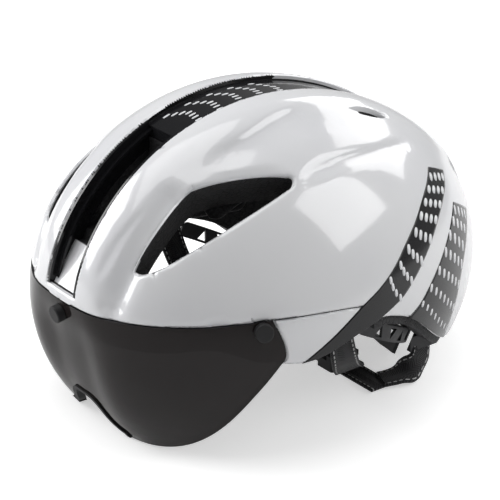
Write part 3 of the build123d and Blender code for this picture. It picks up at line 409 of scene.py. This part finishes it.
def pressedPart(points):
    total = np.zeros(len(points))
    for crease in creases:
        line = creaseLine(crease)
        run = np.gradient(line, axis=0)
        run /= np.linalg.norm(run, axis=1)[:, None]
        length = np.linalg.norm(np.diff(line, axis=0), axis=1).sum()
        reach = creaseTail * max(crease["up"], crease["down"])
        inside = ((points > line.min(0) - reach) & (points < line.max(0) + reach)).all(1)
        some = points[inside]
        if not len(some):
            continue
        gap = some[:, None] - line[None]
        away = np.linalg.norm(gap, axis=2)
        near = away.argmin(1)
        pick = np.arange(len(some))
        side = np.einsum("ij,ij->i", np.cross(run[near], gap[pick, near]), outward(some))
        spread = np.where(side > 0, crease["up"], crease["down"])
        place = near / (creaseSteps - 1) * length
        ends = eased(np.clip(np.minimum(place, length - place) / crease["fade"], 0, 1))
        hollow = crease["depth"] * np.exp(-((away[pick, near] / spread) ** 2)) * ends
        total[inside] = np.maximum(total[inside], hollow)
    return total


def pieceFrom(shape, name, finishNames):
    mesh = bpy.data.meshes.new(name)
    shape.to_mesh(mesh)
    shape.free()
    for label in ("custom_normal", "sharp_face", "sharp_edge"):
        if label in mesh.attributes:
            mesh.attributes.remove(mesh.attributes[label])
    piece = bpy.data.objects.new(name, mesh)
    bpy.context.scene.collection.objects.link(piece)
    for finishName in finishNames:
        mesh.materials.append(finishes[finishName])
    return piece


def smooth(piece, angle=35):
    piece.data.shade_smooth()
    piece.data.set_sharp_from_angle(angle=math.radians(angle))
    return piece


def copyOf(node):
    shape = bmesh.new()
    shape.from_mesh(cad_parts[node].data)
    bmesh.ops.remove_doubles(shape, verts=shape.verts, dist=0.001 * mm)
    for face in shape.faces:
        face.material_index = 0
    return shape


def headPlaces(shape):
    return (np.array([v.co for v in shape.verts]) - np.array(earLine)) / mm


def setHeadPlaces(shape, places):
    for vert, place in zip(shape.verts, places * mm + np.array(earLine)):
        vert.co = place


# shares of the form's size, lengths in millimetres and angles in radians
meshFacts = {
    "onForm": 0.0008, "onRim": 0.002, "outerSkin": 0.0005, "marked": 0.999,
    "sliver": 0.03, "flatEdge": 0.15, "rimAngle": 0.7,
}


def markSurfaces(shape, insets):
    # a value of 1 where a vertex lies on the form at an inset; splitting an edge averages its ends' values
    places = headPlaces(shape)
    for inset in insets:
        layer = shape.verts.layers.float.new(f"on{inset}")
        for vert, share in zip(shape.verts, depthShare(places, inset)):
            vert[layer] = 1.0 if abs(share - 1) < meshFacts["onForm"] else 0.0


def marksTree(marks):
    tree = KDTree(len(marks))
    for i, mark in enumerate(marks):
        tree.insert(mark, i)
    tree.balance()
    return tree


def cutToTriangles(shape):
    bmesh.ops.triangulate(shape, faces=[face for face in shape.faces if len(face.verts) > 3])


def refine(shape, coarse, fine, reach, marks, passes=9):
    # splits long edges: fine within reach of the marks, coarse elsewhere
    tree = marksTree(marks)
    for _ in range(passes):
        tooLong = []
        for edge in shape.edges:
            length = edge.calc_length() / mm
            if length <= fine:
                continue
            middle = ((edge.verts[0].co + edge.verts[1].co) / 2 - earLine) / mm
            middle.x = abs(middle.x)
            if length > coarse or tree.find(middle)[2] < reach + length / 4:
                tooLong.append(edge)
        if not tooLong:
            break
        bmesh.ops.subdivide_edges(shape, edges=tooLong, cuts=1)
        cutToTriangles(shape)
    inside = [edge for edge in shape.edges if len(edge.link_faces) == 2]
    flatEdges = [edge for edge in inside if edge.calc_face_angle(4) < meshFacts["flatEdge"]]
    bmesh.ops.beautify_fill(shape, faces=shape.faces[:], edges=flatEdges)
    bmesh.ops.dissolve_degenerate(shape, dist=meshFacts["sliver"] * mm, edges=shape.edges[:])
    cutToTriangles(shape)


def creaseMarks(names=None):
    marks = [creaseLine(crease) for crease in creases if names is None or crease["name"] in names]
    return np.concatenate(marks)


def skinEdges(shape):
    # points along the sharp edges that bound the outer skin, moved to the left half
    found = []
    for edge in shape.edges:
        if len(edge.link_faces) == 2 and edge.calc_face_angle(0) > meshFacts["rimAngle"]:
            ends = (np.array([v.co for v in edge.verts]) - np.array(earLine)) / mm
            found.append((ends[0], ends.mean(0), ends[1]))
    points = np.concatenate(found)
    return onLeft(points[np.abs(depthShare(points) - 1) < meshFacts["onRim"]])


skinFacts = {
    "coarse": 5.0, "fine": 2.0, "reach": 7.0, "rimFine": 1.5, "rimReach": 1.0, "rimPasses": 3,
    "wall": 2.4, "leastWall": 0.8, "round": 1.1, "ventRound": 2.0,
    # depths below the form, in hundredths of its size
    "under": 0.3, "underBlend": 1.2, "fadeFrom": 4, "fadeOver": 9,
}
ventFacts = {"middle": np.array([54.0, -55.0, 66.0]), "squash": (0.8, 0.8, 1), "reach": 56.0, "inner": 36}


def sink(points):
    # how far a point moves in: the skin by the full crease, what lies under it by what the wall can't take
    depth = (1 - depthShare(points)) * 100
    under = np.clip((depth - skinFacts["under"]) / skinFacts["underBlend"], 0, 1)
    fade = np.clip(1 - (depth - skinFacts["fadeFrom"]) / skinFacts["fadeOver"], 0, 1)
    deep = pressed(points)
    beyondWall = np.maximum(deep - skinFacts["wall"] + skinFacts["leastWall"], 0)
    return (deep * (1 - under) + beyondWall * under) * fade


def rimRadius(mark):
    # rims round the side vent are softer than the others
    away = np.linalg.norm((np.array(mark) - ventFacts["middle"]) * ventFacts["squash"])
    nearVent = away < ventFacts["reach"] and mark[0] > ventFacts["inner"]
    return skinFacts["ventRound"] if nearVent else skinFacts["round"]


def dressSkin(shape, insets):
    # the refined skin goes back onto its exact form, its rims are rounded and the creases pressed in
    places = headPlaces(shape)
    rims = marksTree(skinEdges(shape))
    for inset in insets:
        layer = shape.verts.layers.float[f"on{inset}"]
        close = np.array([vert[layer] > meshFacts["marked"] for vert in shape.verts])
        places[close] = ontoForm(places[close], inset)
    normal = outward(places)
    moved = sink(places)
    for i in np.flatnonzero(np.abs(depthShare(places) - 1) < meshFacts["outerSkin"]):
        mark, _, gap = rims.find((abs(places[i][0]), places[i][1], places[i][2]))
        radius = rimRadius(mark)
        if gap < radius:
            moved[i] += radius - math.sqrt(radius**2 - (radius - gap) ** 2)
    setHeadPlaces(shape, places - normal * moved[:, None])


def refineSkin(shape, marks):
    refine(shape, skinFacts["coarse"], skinFacts["fine"], skinFacts["reach"], marks)
    rims = skinEdges(shape)
    refine(shape, skinFacts["coarse"], skinFacts["rimFine"], skinFacts["rimReach"], rims, skinFacts["rimPasses"])


channelFacts = {
    "halfFront": 12.9, "widening": 2.3, "front": -120.2, "length": 265.2,
    "blackEnd": 30.0, "onWall": 0.35, "upright": 0.7,  # the channel's walls are black up to blackEnd
}


def onBlackWall(face):
    middle = (face.calc_center_median() - earLine) / mm
    along = (middle.y - channelFacts["front"]) / channelFacts["length"]
    half = channelFacts["halfFront"] + channelFacts["widening"] * along
    onWall = abs(abs(middle.x) - half) < channelFacts["onWall"] and abs(face.normal.x) > channelFacts["upright"]
    return onWall and middle.y < channelFacts["blackEnd"]


def makeOuterShell():
    shape = copyOf("outer_shell")
    markSurfaces(shape, [0, skinFacts["wall"]])
    refineSkin(shape, creaseMarks())
    dressSkin(shape, [0, skinFacts["wall"]])
    shape.normal_update()
    for face in shape.faces:
        if onBlackWall(face):
            face.material_index = 1
    piece = smooth(pieceFrom(shape, "shellSkin", ["white", "gloss"]), angle=40)
    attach(piece, "root")
    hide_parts("outer_shell")


cheekFacts = {"blackBelow": 0.9945}  # share of the form's size; faces further in are black


def makeLowerShell():
    shape = copyOf("lower_shell")
    markSurfaces(shape, [0])
    refineSkin(shape, creaseMarks(["frontValley"]))
    middles = np.array([(face.calc_center_median() - earLine) / mm for face in shape.faces])
    for face, share in zip(shape.faces, depthShare(middles)):
        if share < cheekFacts["blackBelow"]:
            face.material_index = 1
    dressSkin(shape, [0])
    piece = smooth(pieceFrom(shape, "cheekSkin", ["white", "trim"]), angle=40)
    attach(piece, "root")
    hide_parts("lower_shell")


linerFacts = {"coarse": 12.0, "fine": 2.4, "reach": 10.0}


def makeLinerFront(way, node):
    # the front foam gives way under the deep valley beside the vent
    shape = copyOf(node)
    refine(shape, linerFacts["coarse"], linerFacts["fine"], linerFacts["reach"], creaseMarks(["frontValley"]))
    places = headPlaces(shape)
    setHeadPlaces(shape, places - outward(places) * sink(places)[:, None])
    piece = smooth(pieceFrom(shape, "linerFront" + way, ["foam"]), angle=30)
    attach(piece, "root")
    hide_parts(node)


makeOuterShell()
makeLowerShell()
makeLinerFront("Left", "foam_liner_front_left")
makeLinerFront("Right", "foam_liner_front_right")
print("stage: shells dressed")

# black bands on the flanks, each between two edge lines, with rows of white dashes
bandFacts = [
    {"name": "bandFront", "wide": 20, "tall": 110,
     "left": [(55.4, 80.1, 61.9), (63, 72.8, 58.6), (72.9, 60.8, 53.4), (81.4, 48.8, 46.8), (88.4, 36.2, 39.6),
              (93.7, 24.6, 31.8), (97.1, 12.6, 25.2), (99.2, -0.8, 19.2), (99.9, -18.5, 8.6), (97.6, -35.4, -1.7)],
     "right": [(49.1, 97.1, 54.3), (58, 90.7, 49.9), (66.5, 81.7, 46.2), (75.8, 70.1, 40.7), (83, 59.8, 34.5),
               (88.9, 49.3, 27.9), (93.6, 38.6, 21.2), (96.8, 28.6, 15.6), (98.9, 18.2, 12), (100.3, 8.2, 8.9)],
     "rim": [(97.6, -37, -2.4), (98.6, -27, -1.4), (99.4, -18.6, 0.9), (99.9, -9.4, 4.0), (100.2, 0, 6.7),
             (100.3, 8.4, 8.8)],
     "rows": [
         {"start": (0.058, 0.175), "end": (0.050, 0.875), "count": 4, "lean": 0, "long": 5.6, "wide": 2.7},
         {"start": (0.133, 0.175), "end": (0.142, 0.860), "count": 4, "lean": 10, "long": 5.4, "wide": 2.7},
         {"start": (0.208, 0.175), "end": (0.242, 0.875), "count": 4, "lean": 14, "long": 5.4, "wide": 2.7},
         {"start": (0.280, 0.165), "end": (0.342, 0.875), "count": 4, "lean": 12, "long": 5.4, "wide": 2.7},
         {"start": (0.367, 0.200), "end": (0.458, 0.900), "count": 4, "lean": 6, "long": 5.5, "wide": 2.6},
         {"start": (0.450, 0.200), "end": (0.585, 0.910), "count": 4, "lean": -4, "long": 5.3, "wide": 2.5},
         {"start": (0.525, 0.190), "end": (0.700, 0.920), "count": 4, "lean": -6, "long": 4.7, "wide": 2.3},
         {"start": (0.600, 0.180), "end": (0.800, 0.920), "count": 4, "lean": -8, "long": 4.1, "wide": 2.1}]},
    {"name": "bandRear", "wide": 20, "tall": 80,
     "left": [(62.2, 93.2, 40.9), (68.4, 87.1, 36.9), (78.4, 74.9, 29), (85.3, 64.1, 21.6), (91, 52.3, 13.7),
              (94.6, 42.6, 7.4), (97.3, 32.2, 3.2)],
     "right": [(52.5, 112.5, 29.4), (60.4, 106.3, 23.6), (69.8, 96.7, 14.5), (75.9, 88.8, 4), (78.3, 83.8, -8.6),
               (78.4, 80, -19.4), (76.1, 77.7, -30.3)],
     "rim": [(97.3, 33, 3.0), (95.2, 42, -3.2), (91.2, 52, -11.6), (84.9, 64, -21.2), (76.1, 77.7, -30.4)],
     "rows": [
         {"start": (0.067, 0.125), "end": (0.067, 0.800), "count": 4, "lean": -6, "long": 5.6, "wide": 2.6},
         {"start": (0.167, 0.110), "end": (0.192, 0.790), "count": 4, "lean": -1, "long": 5.6, "wide": 2.8},
         {"start": (0.292, 0.080), "end": (0.333, 0.800), "count": 4, "lean": 0, "long": 6.0, "wide": 2.9},
         {"start": (0.433, 0.085), "end": (0.467, 0.900), "count": 5, "lean": 2, "long": 5.6, "wide": 2.8},
         {"start": (0.583, 0.080), "end": (0.608, 0.930), "count": 6, "lean": 4, "long": 5.0, "wide": 2.7},
         {"start": (0.725, 0.060), "end": (0.767, 0.940), "count": 7, "lean": 9, "long": 4.5, "wide": 2.4},
         {"start": (0.858, 0.050), "end": (0.925, 0.940), "count": 8, "lean": 14, "long": 3.6, "wide": 2.1}]},
]
layFacts = {"steps": 400, "rimFrom": 0.6, "lift": 0.12, "wall": 0.4}  # past rimFrom a band's lines bend to the rim
dashFacts = {"lift": 0.1, "height": 0.24, "segments": 16, "rounding": (0.7, 0.8)}
# right and up as the camera sees them, which the dashes' lean is measured from
pictureRight, pictureUp = np.array([0.597, 0.802, 0.0]), np.array([-0.3325, 0.2475, 0.910])


def bandPlaces(facts, downs, acrosses, lift):
    # downs and acrosses are shares of the band's length and width
    left, right, rim = (throughPoints(facts[edge], layFacts["steps"]) for edge in ("left", "right", "rim"))
    start, end = sampled(left, downs), sampled(right, downs)
    flat = start + (end - start) * acrosses[:, None]
    late = eased(np.clip((downs - layFacts["rimFrom"]) / (1 - layFacts["rimFrom"]), 0, 1))[:, None]
    straight = left[-1] + (right[-1] - left[-1]) * acrosses[:, None]
    onSkin = ontoForm(flat + late * (sampled(rim, acrosses) - straight))
    return onSkin + outward(onSkin) * lift


def addDash(shape, middle, size):
    # a small rounded bar in the flat pattern, x across and y along
    made = bmesh.ops.create_circle(shape, cap_ends=True, segments=dashFacts["segments"], radius=1.0)
    roundX, roundY = dashFacts["rounding"]
    for vert in made["verts"]:
        vert.co.x = middle[0] + size[0] * math.copysign(abs(vert.co.x) ** roundX, vert.co.x)
        vert.co.y = middle[1] + size[1] * math.copysign(abs(vert.co.y) ** roundY, vert.co.y)
    return made["verts"]


def finishPrint(shape, name, finishName, thickness):
    # a thin layer on the shell: faces turned out, then given a thickness inwards
    shape.normal_update()
    for face in shape.faces:
        if face.normal.dot(face.calc_center_median() - earLine) < 0:
            face.normal_flip()
    piece = smooth(pieceFrom(shape, name, [finishName]))
    wall = piece.modifiers.new("wall", "SOLIDIFY")
    wall.thickness, wall.offset = thickness * mm, -1
    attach(piece, "root")


def makeBand(facts, way):
    shape = bmesh.new()
    bmesh.ops.create_grid(shape, x_segments=facts["wide"], y_segments=facts["tall"], size=0.5)
    flat = np.array([v.co for v in shape.verts]) + 0.5
    places = bandPlaces(facts, flat[:, 1], flat[:, 0], layFacts["lift"])
    places[:, 0] *= way
    setHeadPlaces(shape, places)
    sideName = "Left" if way > 0 else "Right"
    finishPrint(shape, facts["name"] + sideName, "gloss", layFacts["wall"])


def makeBandDashes(facts, way):
    # each dash leans a little from upright as seen from the front quarter
    shape = bmesh.new()
    for row in facts["rows"]:
        lean = math.radians(row["lean"])
        start, end = np.array(row["start"]), np.array(row["end"])
        for share in np.linspace(0, 1, row["count"]):
            down, across = start + (end - start) * share
            middle = bandPlaces(facts, np.array([down]), np.array([across]), 0)[0]
            normal = outward(middle[None])[0]
            along = np.cross(normal, pictureRight * math.cos(lean) - pictureUp * math.sin(lean))
            along /= np.linalg.norm(along)
            side = np.cross(along, normal)
            verts = addDash(shape, (0, 0), (row["wide"] / 2, row["long"] / 2))
            flat = np.array([v.co for v in verts])
            places = ontoForm(middle + side * flat[:, :1] + along * flat[:, 1:2])
            places = places + outward(places) * (layFacts["lift"] + dashFacts["lift"])
            for vert, place in zip(verts, places):
                vert.co = np.array(earLine) + place * (way * mm, mm, mm)
    sideName = "Left" if way > 0 else "Right"
    finishPrint(shape, facts["name"] + "Dashes" + sideName, "ink", dashFacts["height"])


for bandFact in bandFacts:
    for way in (1, -1):
        makeBand(bandFact, way)
        makeBandDashes(bandFact, way)
print("stage: side bands laid")

spineFacts = {
    "drop": 3.0, "lift": 0.1, "half": 2.1, "wide": 0.7, "top": 100, "settle": 8,
    "rows": [-37.4, -24.0, -10.2, 3.3, 16.8],
    "pattern": [(-9.6, -5.5), (-6.9, -2.2), (-4.2, 0.6), (-1.3, 2.7), (2.0, 2.6), (5.4, 2.0), (9.2, 1.4)],
}


def makeSpineDashes():
    shape = bmesh.new()
    for row in spineFacts["rows"]:
        for across, along in spineFacts["pattern"]:
            addDash(shape, (across, row + along), (spineFacts["wide"], spineFacts["half"]))
    places = np.array([v.co for v in shape.verts])
    places[:, 2] = spineFacts["top"]
    for _ in range(spineFacts["settle"]):  # settle straight down onto the spine panel
        places[:, 2] = ontoForm(places, spineFacts["drop"])[:, 2]
    places += outward(places) * spineFacts["lift"]
    setHeadPlaces(shape, places)
    finishPrint(shape, "spineDashes", "ink", dashFacts["height"])


makeSpineDashes()


# visor lens, with dark polished edges: the faces that look along the wall, not out or in
lensFacts = {"edgeBelow": 0.6}


def makeLens():
    shape = copyOf("visor_lens")
    middles = np.array([(face.calc_center_median() - earLine) / mm for face in shape.faces])
    normals = np.array([face.normal for face in shape.faces])
    facing = np.abs(np.einsum("ij,ij->i", outward(middles), normals))
    for face, share in zip(shape.faces, facing):
        face.material_index = 1 if share < lensFacts["edgeBelow"] else 0
    piece = smooth(pieceFrom(shape, "visorGlass", ["lens", "lensEdge"]), angle=40)
    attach(piece, "visor")
    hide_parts("visor_lens")


makeLens()

noseFacts = {
    "notch": [(0, -38.0), (6.0, -38.4), (11.9, -43.1), (14.9, -48.8), (18.8, -52.8), (24.0, -55.0), (26.0, -57.0)],
    "narrow": 0.36, "steps": 120, "fine": 1.6, "reach": 1.0, "passes": 5, "beside": 0.2, "settle": 6,
}


def makeNosePad():
    # the soft edging is drawn in to a narrow bead round the notch
    shape = copyOf("nose_pad")
    refine(shape, noseFacts["fine"], noseFacts["fine"], noseFacts["reach"], np.zeros((1, 3)), noseFacts["passes"])
    places = headPlaces(shape)
    notch = throughPoints([(x, 0, z) for x, z in noseFacts["notch"]], noseFacts["steps"])[:, [0, 2]]
    flat = np.stack([np.abs(places[:, 0]), places[:, 2]], 1)
    gap = flat[:, None] - notch[None]
    near = np.linalg.norm(gap, axis=2).argmin(1)
    away = gap[np.arange(len(flat)), near]
    outside = (away[:, 1] > 0) | (away[:, 0] > noseFacts["beside"])
    depth = depthShare(places)
    moved = np.where(outside[:, None], notch[near] + away * noseFacts["narrow"], flat)
    drawn = places.copy()
    drawn[:, 0] = np.sign(places[:, 0]) * moved[:, 0]
    drawn[:, 2] = moved[:, 1]
    for _ in range(noseFacts["settle"]):  # keep each point's depth below the form
        atDepth = fromUnit(toUnit(drawn) / depthShare(drawn)[:, None] * depth[:, None])
        drawn[:, 1] += (atDepth - drawn)[:, 1]
    setHeadPlaces(shape, drawn)
    piece = smooth(pieceFrom(shape, "noseBead", ["rubber"]), angle=40)
    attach(piece, "visor")
    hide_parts("nose_pad")


makeNosePad()
print("stage: visor made")

# straps: flat webbing laid along given lines, as in the CAD source
strapFacts = {
    "width": 15.0, "wall": 1.5, "steps": 300, "cells": (70, 8),
    "evenOut": 24,  # steps either way over which the strap's twist is evened out
    "front": {"line": [(76.8, 1.0, 12.0), (76.6, 2.0, 2.9), (76.2, 5.0, -9.0), (73.5, 10.1, -23.2),
                       (60.6, 23.2, -38.3), (46.5, 37.8, -49.0), (34.3, 46.0, -54.55), (29.7, 46.0, -54.55),
                       (25.0, 46.0, -54.55)],
              "across": [(0, 1, 0), (0, 1, 0)]},
    "rear": {"line": [(62.0, 74.5, -38.6), (63.7, 72.3, -45.0), (63.5, 65.5, -50.9), (60.7, 57.3, -54.1),
                      (58.0, 50.0, -54.98)],
             "across": [(0, 0.7, -0.7), (0, 0.7, -0.7), (1, 0, 0), (1, 0, 0)]},
    "run": {"line": [(63.5, 46, -56.2), (50, 46, -56.2), (36, 46, -56.2), (20, 46, -56.2), (7.1, 46, -56.2)],
            "across": [(0, 1, 0), (0, 1, 0)]},
}


def strapAcross(line, hints):
    # directions across the webbing at each step of its line
    along = np.gradient(line, axis=0)
    along /= np.linalg.norm(along, axis=1)[:, None]
    hint = sampled(np.array(hints, float), np.linspace(0, 1, len(line)))
    across = hint - along * np.einsum("ij,ij->i", hint, along)[:, None]
    across /= np.linalg.norm(across, axis=1)[:, None]
    reach = strapFacts["evenOut"]
    window = np.ones(2 * reach + 1) / (2 * reach + 1)
    padded = np.pad(across, ((reach, reach), (0, 0)), "edge")
    across = np.stack([np.convolve(padded[:, k], window, "valid") for k in range(3)], 1)
    return across / np.linalg.norm(across, axis=1)[:, None]


def addWebbing(shape, facts, way):
    # a flat strip along the run's line, with its place along and across in the uv map
    long, wide = strapFacts["cells"]
    made = bmesh.ops.create_grid(shape, x_segments=long, y_segments=wide, size=0.5)
    flat = np.array([v.co for v in made["verts"]]) + 0.5
    line = throughPoints(facts["line"], strapFacts["steps"])
    length = np.linalg.norm(np.diff(line, axis=0), axis=1).sum()
    layer = shape.loops.layers.uv["strapPlace"]
    spots = dict(zip(made["verts"], flat))
    for face in {f for v in made["verts"] for f in v.link_faces}:
        for loop in face.loops:
            spot = spots[loop.vert]
            loop[layer].uv = (spot[0] * length, spot[1] * strapFacts["width"])
    across = sampled(strapAcross(line, facts["across"]), flat[:, 0])
    places = sampled(line, flat[:, 0]) + across * ((flat[:, 1] - 0.5) * strapFacts["width"])[:, None]
    places[:, 0] *= way
    for vert, place in zip(made["verts"], places * mm + np.array(earLine)):
        vert.co = place


def makeStrap(name, runs, way, node):
    shape = bmesh.new()
    shape.loops.layers.uv.new("strapPlace")
    for run in runs:
        addWebbing(shape, strapFacts[run], way)
    piece = smooth(pieceFrom(shape, name, ["webbing"]), angle=50)
    wall = piece.modifiers.new("wall", "SOLIDIFY")
    wall.thickness, wall.offset = strapFacts["wall"] * mm, 0
    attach(piece, "root")
    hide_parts(node)


for way, sideName in ((1, "left"), (-1, "right")):
    makeStrap("webFront_" + sideName, ["front"], way, "strap_front_" + sideName)
    makeStrap("webRear_" + sideName, ["rear", "run"], way, "strap_rear_" + sideName)
print("stage: straps laid")

# pads, made from the CAD's plain ones
padNames = ["brow_pad", "rear_pad", "nape_pad", "crown_pad_left", "crown_pad_right", "temple_pad_left",
            "temple_pad_right", "side_pad_left", "side_pad_right"]
padFacts = {"voxel": 1.6, "ease": 0.5, "rounds": 10, "fill": 0.6}


def makePad(node):
    piece = pieceFrom(copyOf(node), node.replace("_", "") + "Soft", ["padCloth"])
    remesh = piece.modifiers.new("remesh", "REMESH")
    remesh.mode, remesh.voxel_size = "VOXEL", padFacts["voxel"] * mm
    ease = piece.modifiers.new("ease", "SMOOTH")
    ease.factor, ease.iterations = padFacts["ease"], padFacts["rounds"]
    bpy.context.view_layer.update()
    graph = bpy.context.evaluated_depsgraph_get()
    final = bpy.data.meshes.new_from_object(piece.evaluated_get(graph))
    piece.modifiers.clear()
    piece.data = final
    piece.data.shade_smooth()
    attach(piece, "cradle" if node == "nape_pad" else "root")
    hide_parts(node)


for padName in padNames:
    makePad(padName)
print("stage: pads made")

# finishes on the CAD nodes, by the start of their names; nylon on the others
nodeFinish = {
    "spine_panel": "gloss", "channel_trim": "gloss", "channel_ramp": "white", "brow_grille": "trim",
    "foam_liner": "foam", "visor_magnet": "steel", "shell_magnet": "steel", "dial_screw": "steel",
    "dial_knob": "rubber", "strap_keeper": "rubber", "visor_button": "rubber", "nose_pad": "rubber",
}
for nodeName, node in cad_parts.items():
    choices = [finishName for start, finishName in nodeFinish.items() if nodeName.startswith(start)]
    for slotPlace in node.material_slots:
        slotPlace.material = finishes[choices[0] if choices else "nylon"]
print("stage: CAD nodes finished")


# floor, backdrop and lights
studio = {
    "ambient": 0.17, "cardLow": 0.30, "cardHigh": 0.12, "cardEnds": (0.15, 0.65), "aim": (0, 0, 0.08),
    "floorSize": 6, "floorTones": ((0.80, 0.80, 0.80), (0.82, 0.82, 0.82)), "floorPatches": 3.0,
    "floorGlow": 0.52, "floorMirror": 0.2,  # light the floor gives of itself, as seen and as mirrored
}


def makeFloor():
    shape = bmesh.new()
    bmesh.ops.create_grid(shape, x_segments=1, y_segments=1, size=studio["floorSize"])
    mesh = bpy.data.meshes.new("floor")
    shape.to_mesh(mesh)
    shape.free()
    floor = bpy.data.objects.new("floor", mesh)
    bpy.context.scene.collection.objects.link(floor)
    finish = Finish("paleFloor", Roughness=0.9, Specular_IOR_Level=0.1)
    finish.feed("Base Color", finish.blend(finish.noise(studio["floorPatches"]), studio["floorTones"]))
    seen = finish.node("ShaderNodeLightPath", out="Is Camera Ray")
    glossy = finish.node("ShaderNodeLightPath", out="Is Glossy Ray")
    finish.shader.inputs["Emission Strength"].default_value = 1
    finish.feed("Emission Color", seen * studio["floorGlow"] + glossy * studio["floorMirror"])
    finish.material.cycles.emission_sampling = "NONE"
    mesh.materials.append(finish.material)


def makeWorld():
    # plain ambient light; the camera sees white, and gloss sees white cards low down under a darker ceiling
    world = bpy.data.worlds.new("studio")
    bpy.context.scene.world = world
    world.use_nodes = True
    tree = world.node_tree
    tree.nodes.clear()
    path, place = tree.nodes.new("ShaderNodeLightPath"), tree.nodes.new("ShaderNodeTexCoord")
    parts, rise = tree.nodes.new("ShaderNodeSeparateXYZ"), tree.nodes.new("ShaderNodeMapRange")
    rise.interpolation_type = "SMOOTHSTEP"
    for socket, value in zip(list(rise.inputs)[1:5], (*studio["cardEnds"], studio["cardLow"], studio["cardHigh"])):
        socket.default_value = value
    tree.links.new(place.outputs["Generated"], parts.inputs[0])
    tree.links.new(parts.outputs[2], rise.inputs[0])
    out = tree.nodes.new("ShaderNodeOutputWorld")
    looks = {}
    for name, strength in (("plain", studio["ambient"]), ("cards", 1.0), ("white", 1.0)):
        looks[name] = tree.nodes.new("ShaderNodeBackground")
        looks[name].inputs[0].default_value = (1, 1, 1, 1)
        looks[name].inputs[1].default_value = strength
    tree.links.new(rise.outputs[0], looks["cards"].inputs[1])
    previous = looks["plain"]
    for label, name in (("Is Glossy Ray", "cards"), ("Is Transmission Ray", "white"), ("Is Camera Ray", "white")):
        mix = tree.nodes.new("ShaderNodeMixShader")
        tree.links.new(path.outputs[label], mix.inputs[0])
        tree.links.new(previous.outputs[0], mix.inputs[1])
        tree.links.new(looks[name].outputs[0], mix.inputs[2])
        previous = mix
    tree.links.new(previous.outputs[0], out.inputs[0])


lamps = [
    {"name": "topBox", "place": (-0.25, -0.35, 1.6), "size": (1.4, 1.4), "power": 12},
    {"name": "leftBox", "place": (-1.2, -1.05, 0.8), "size": (0.9, 1.2), "power": 19},
    {"name": "rearBox", "place": (-0.3, 1.45, 1.0), "size": (1.2, 0.8), "power": 9},
    {"name": "windowBox", "place": (0.9, 1.0, 1.05), "size": (0.9, 0.9), "power": 9},
]


def makeLamp(facts):
    data = bpy.data.lights.new(facts["name"], "AREA")
    data.shape = "RECTANGLE"
    data.size, data.size_y = facts["size"]
    data.energy = facts["power"]
    lamp = bpy.data.objects.new(facts["name"], data)
    bpy.context.scene.collection.objects.link(lamp)
    lamp.location = facts["place"]
    aim = Vector(studio["aim"]) - Vector(facts["place"])
    lamp.rotation_euler = aim.to_track_quat("-Z", "Y").to_euler()


makeFloor()
makeWorld()
for lampFacts in lamps:
    makeLamp(lampFacts)
bpy.context.scene.view_settings.view_transform = "Standard"
print("stage: studio lit")

bpy.context.view_layer.update()
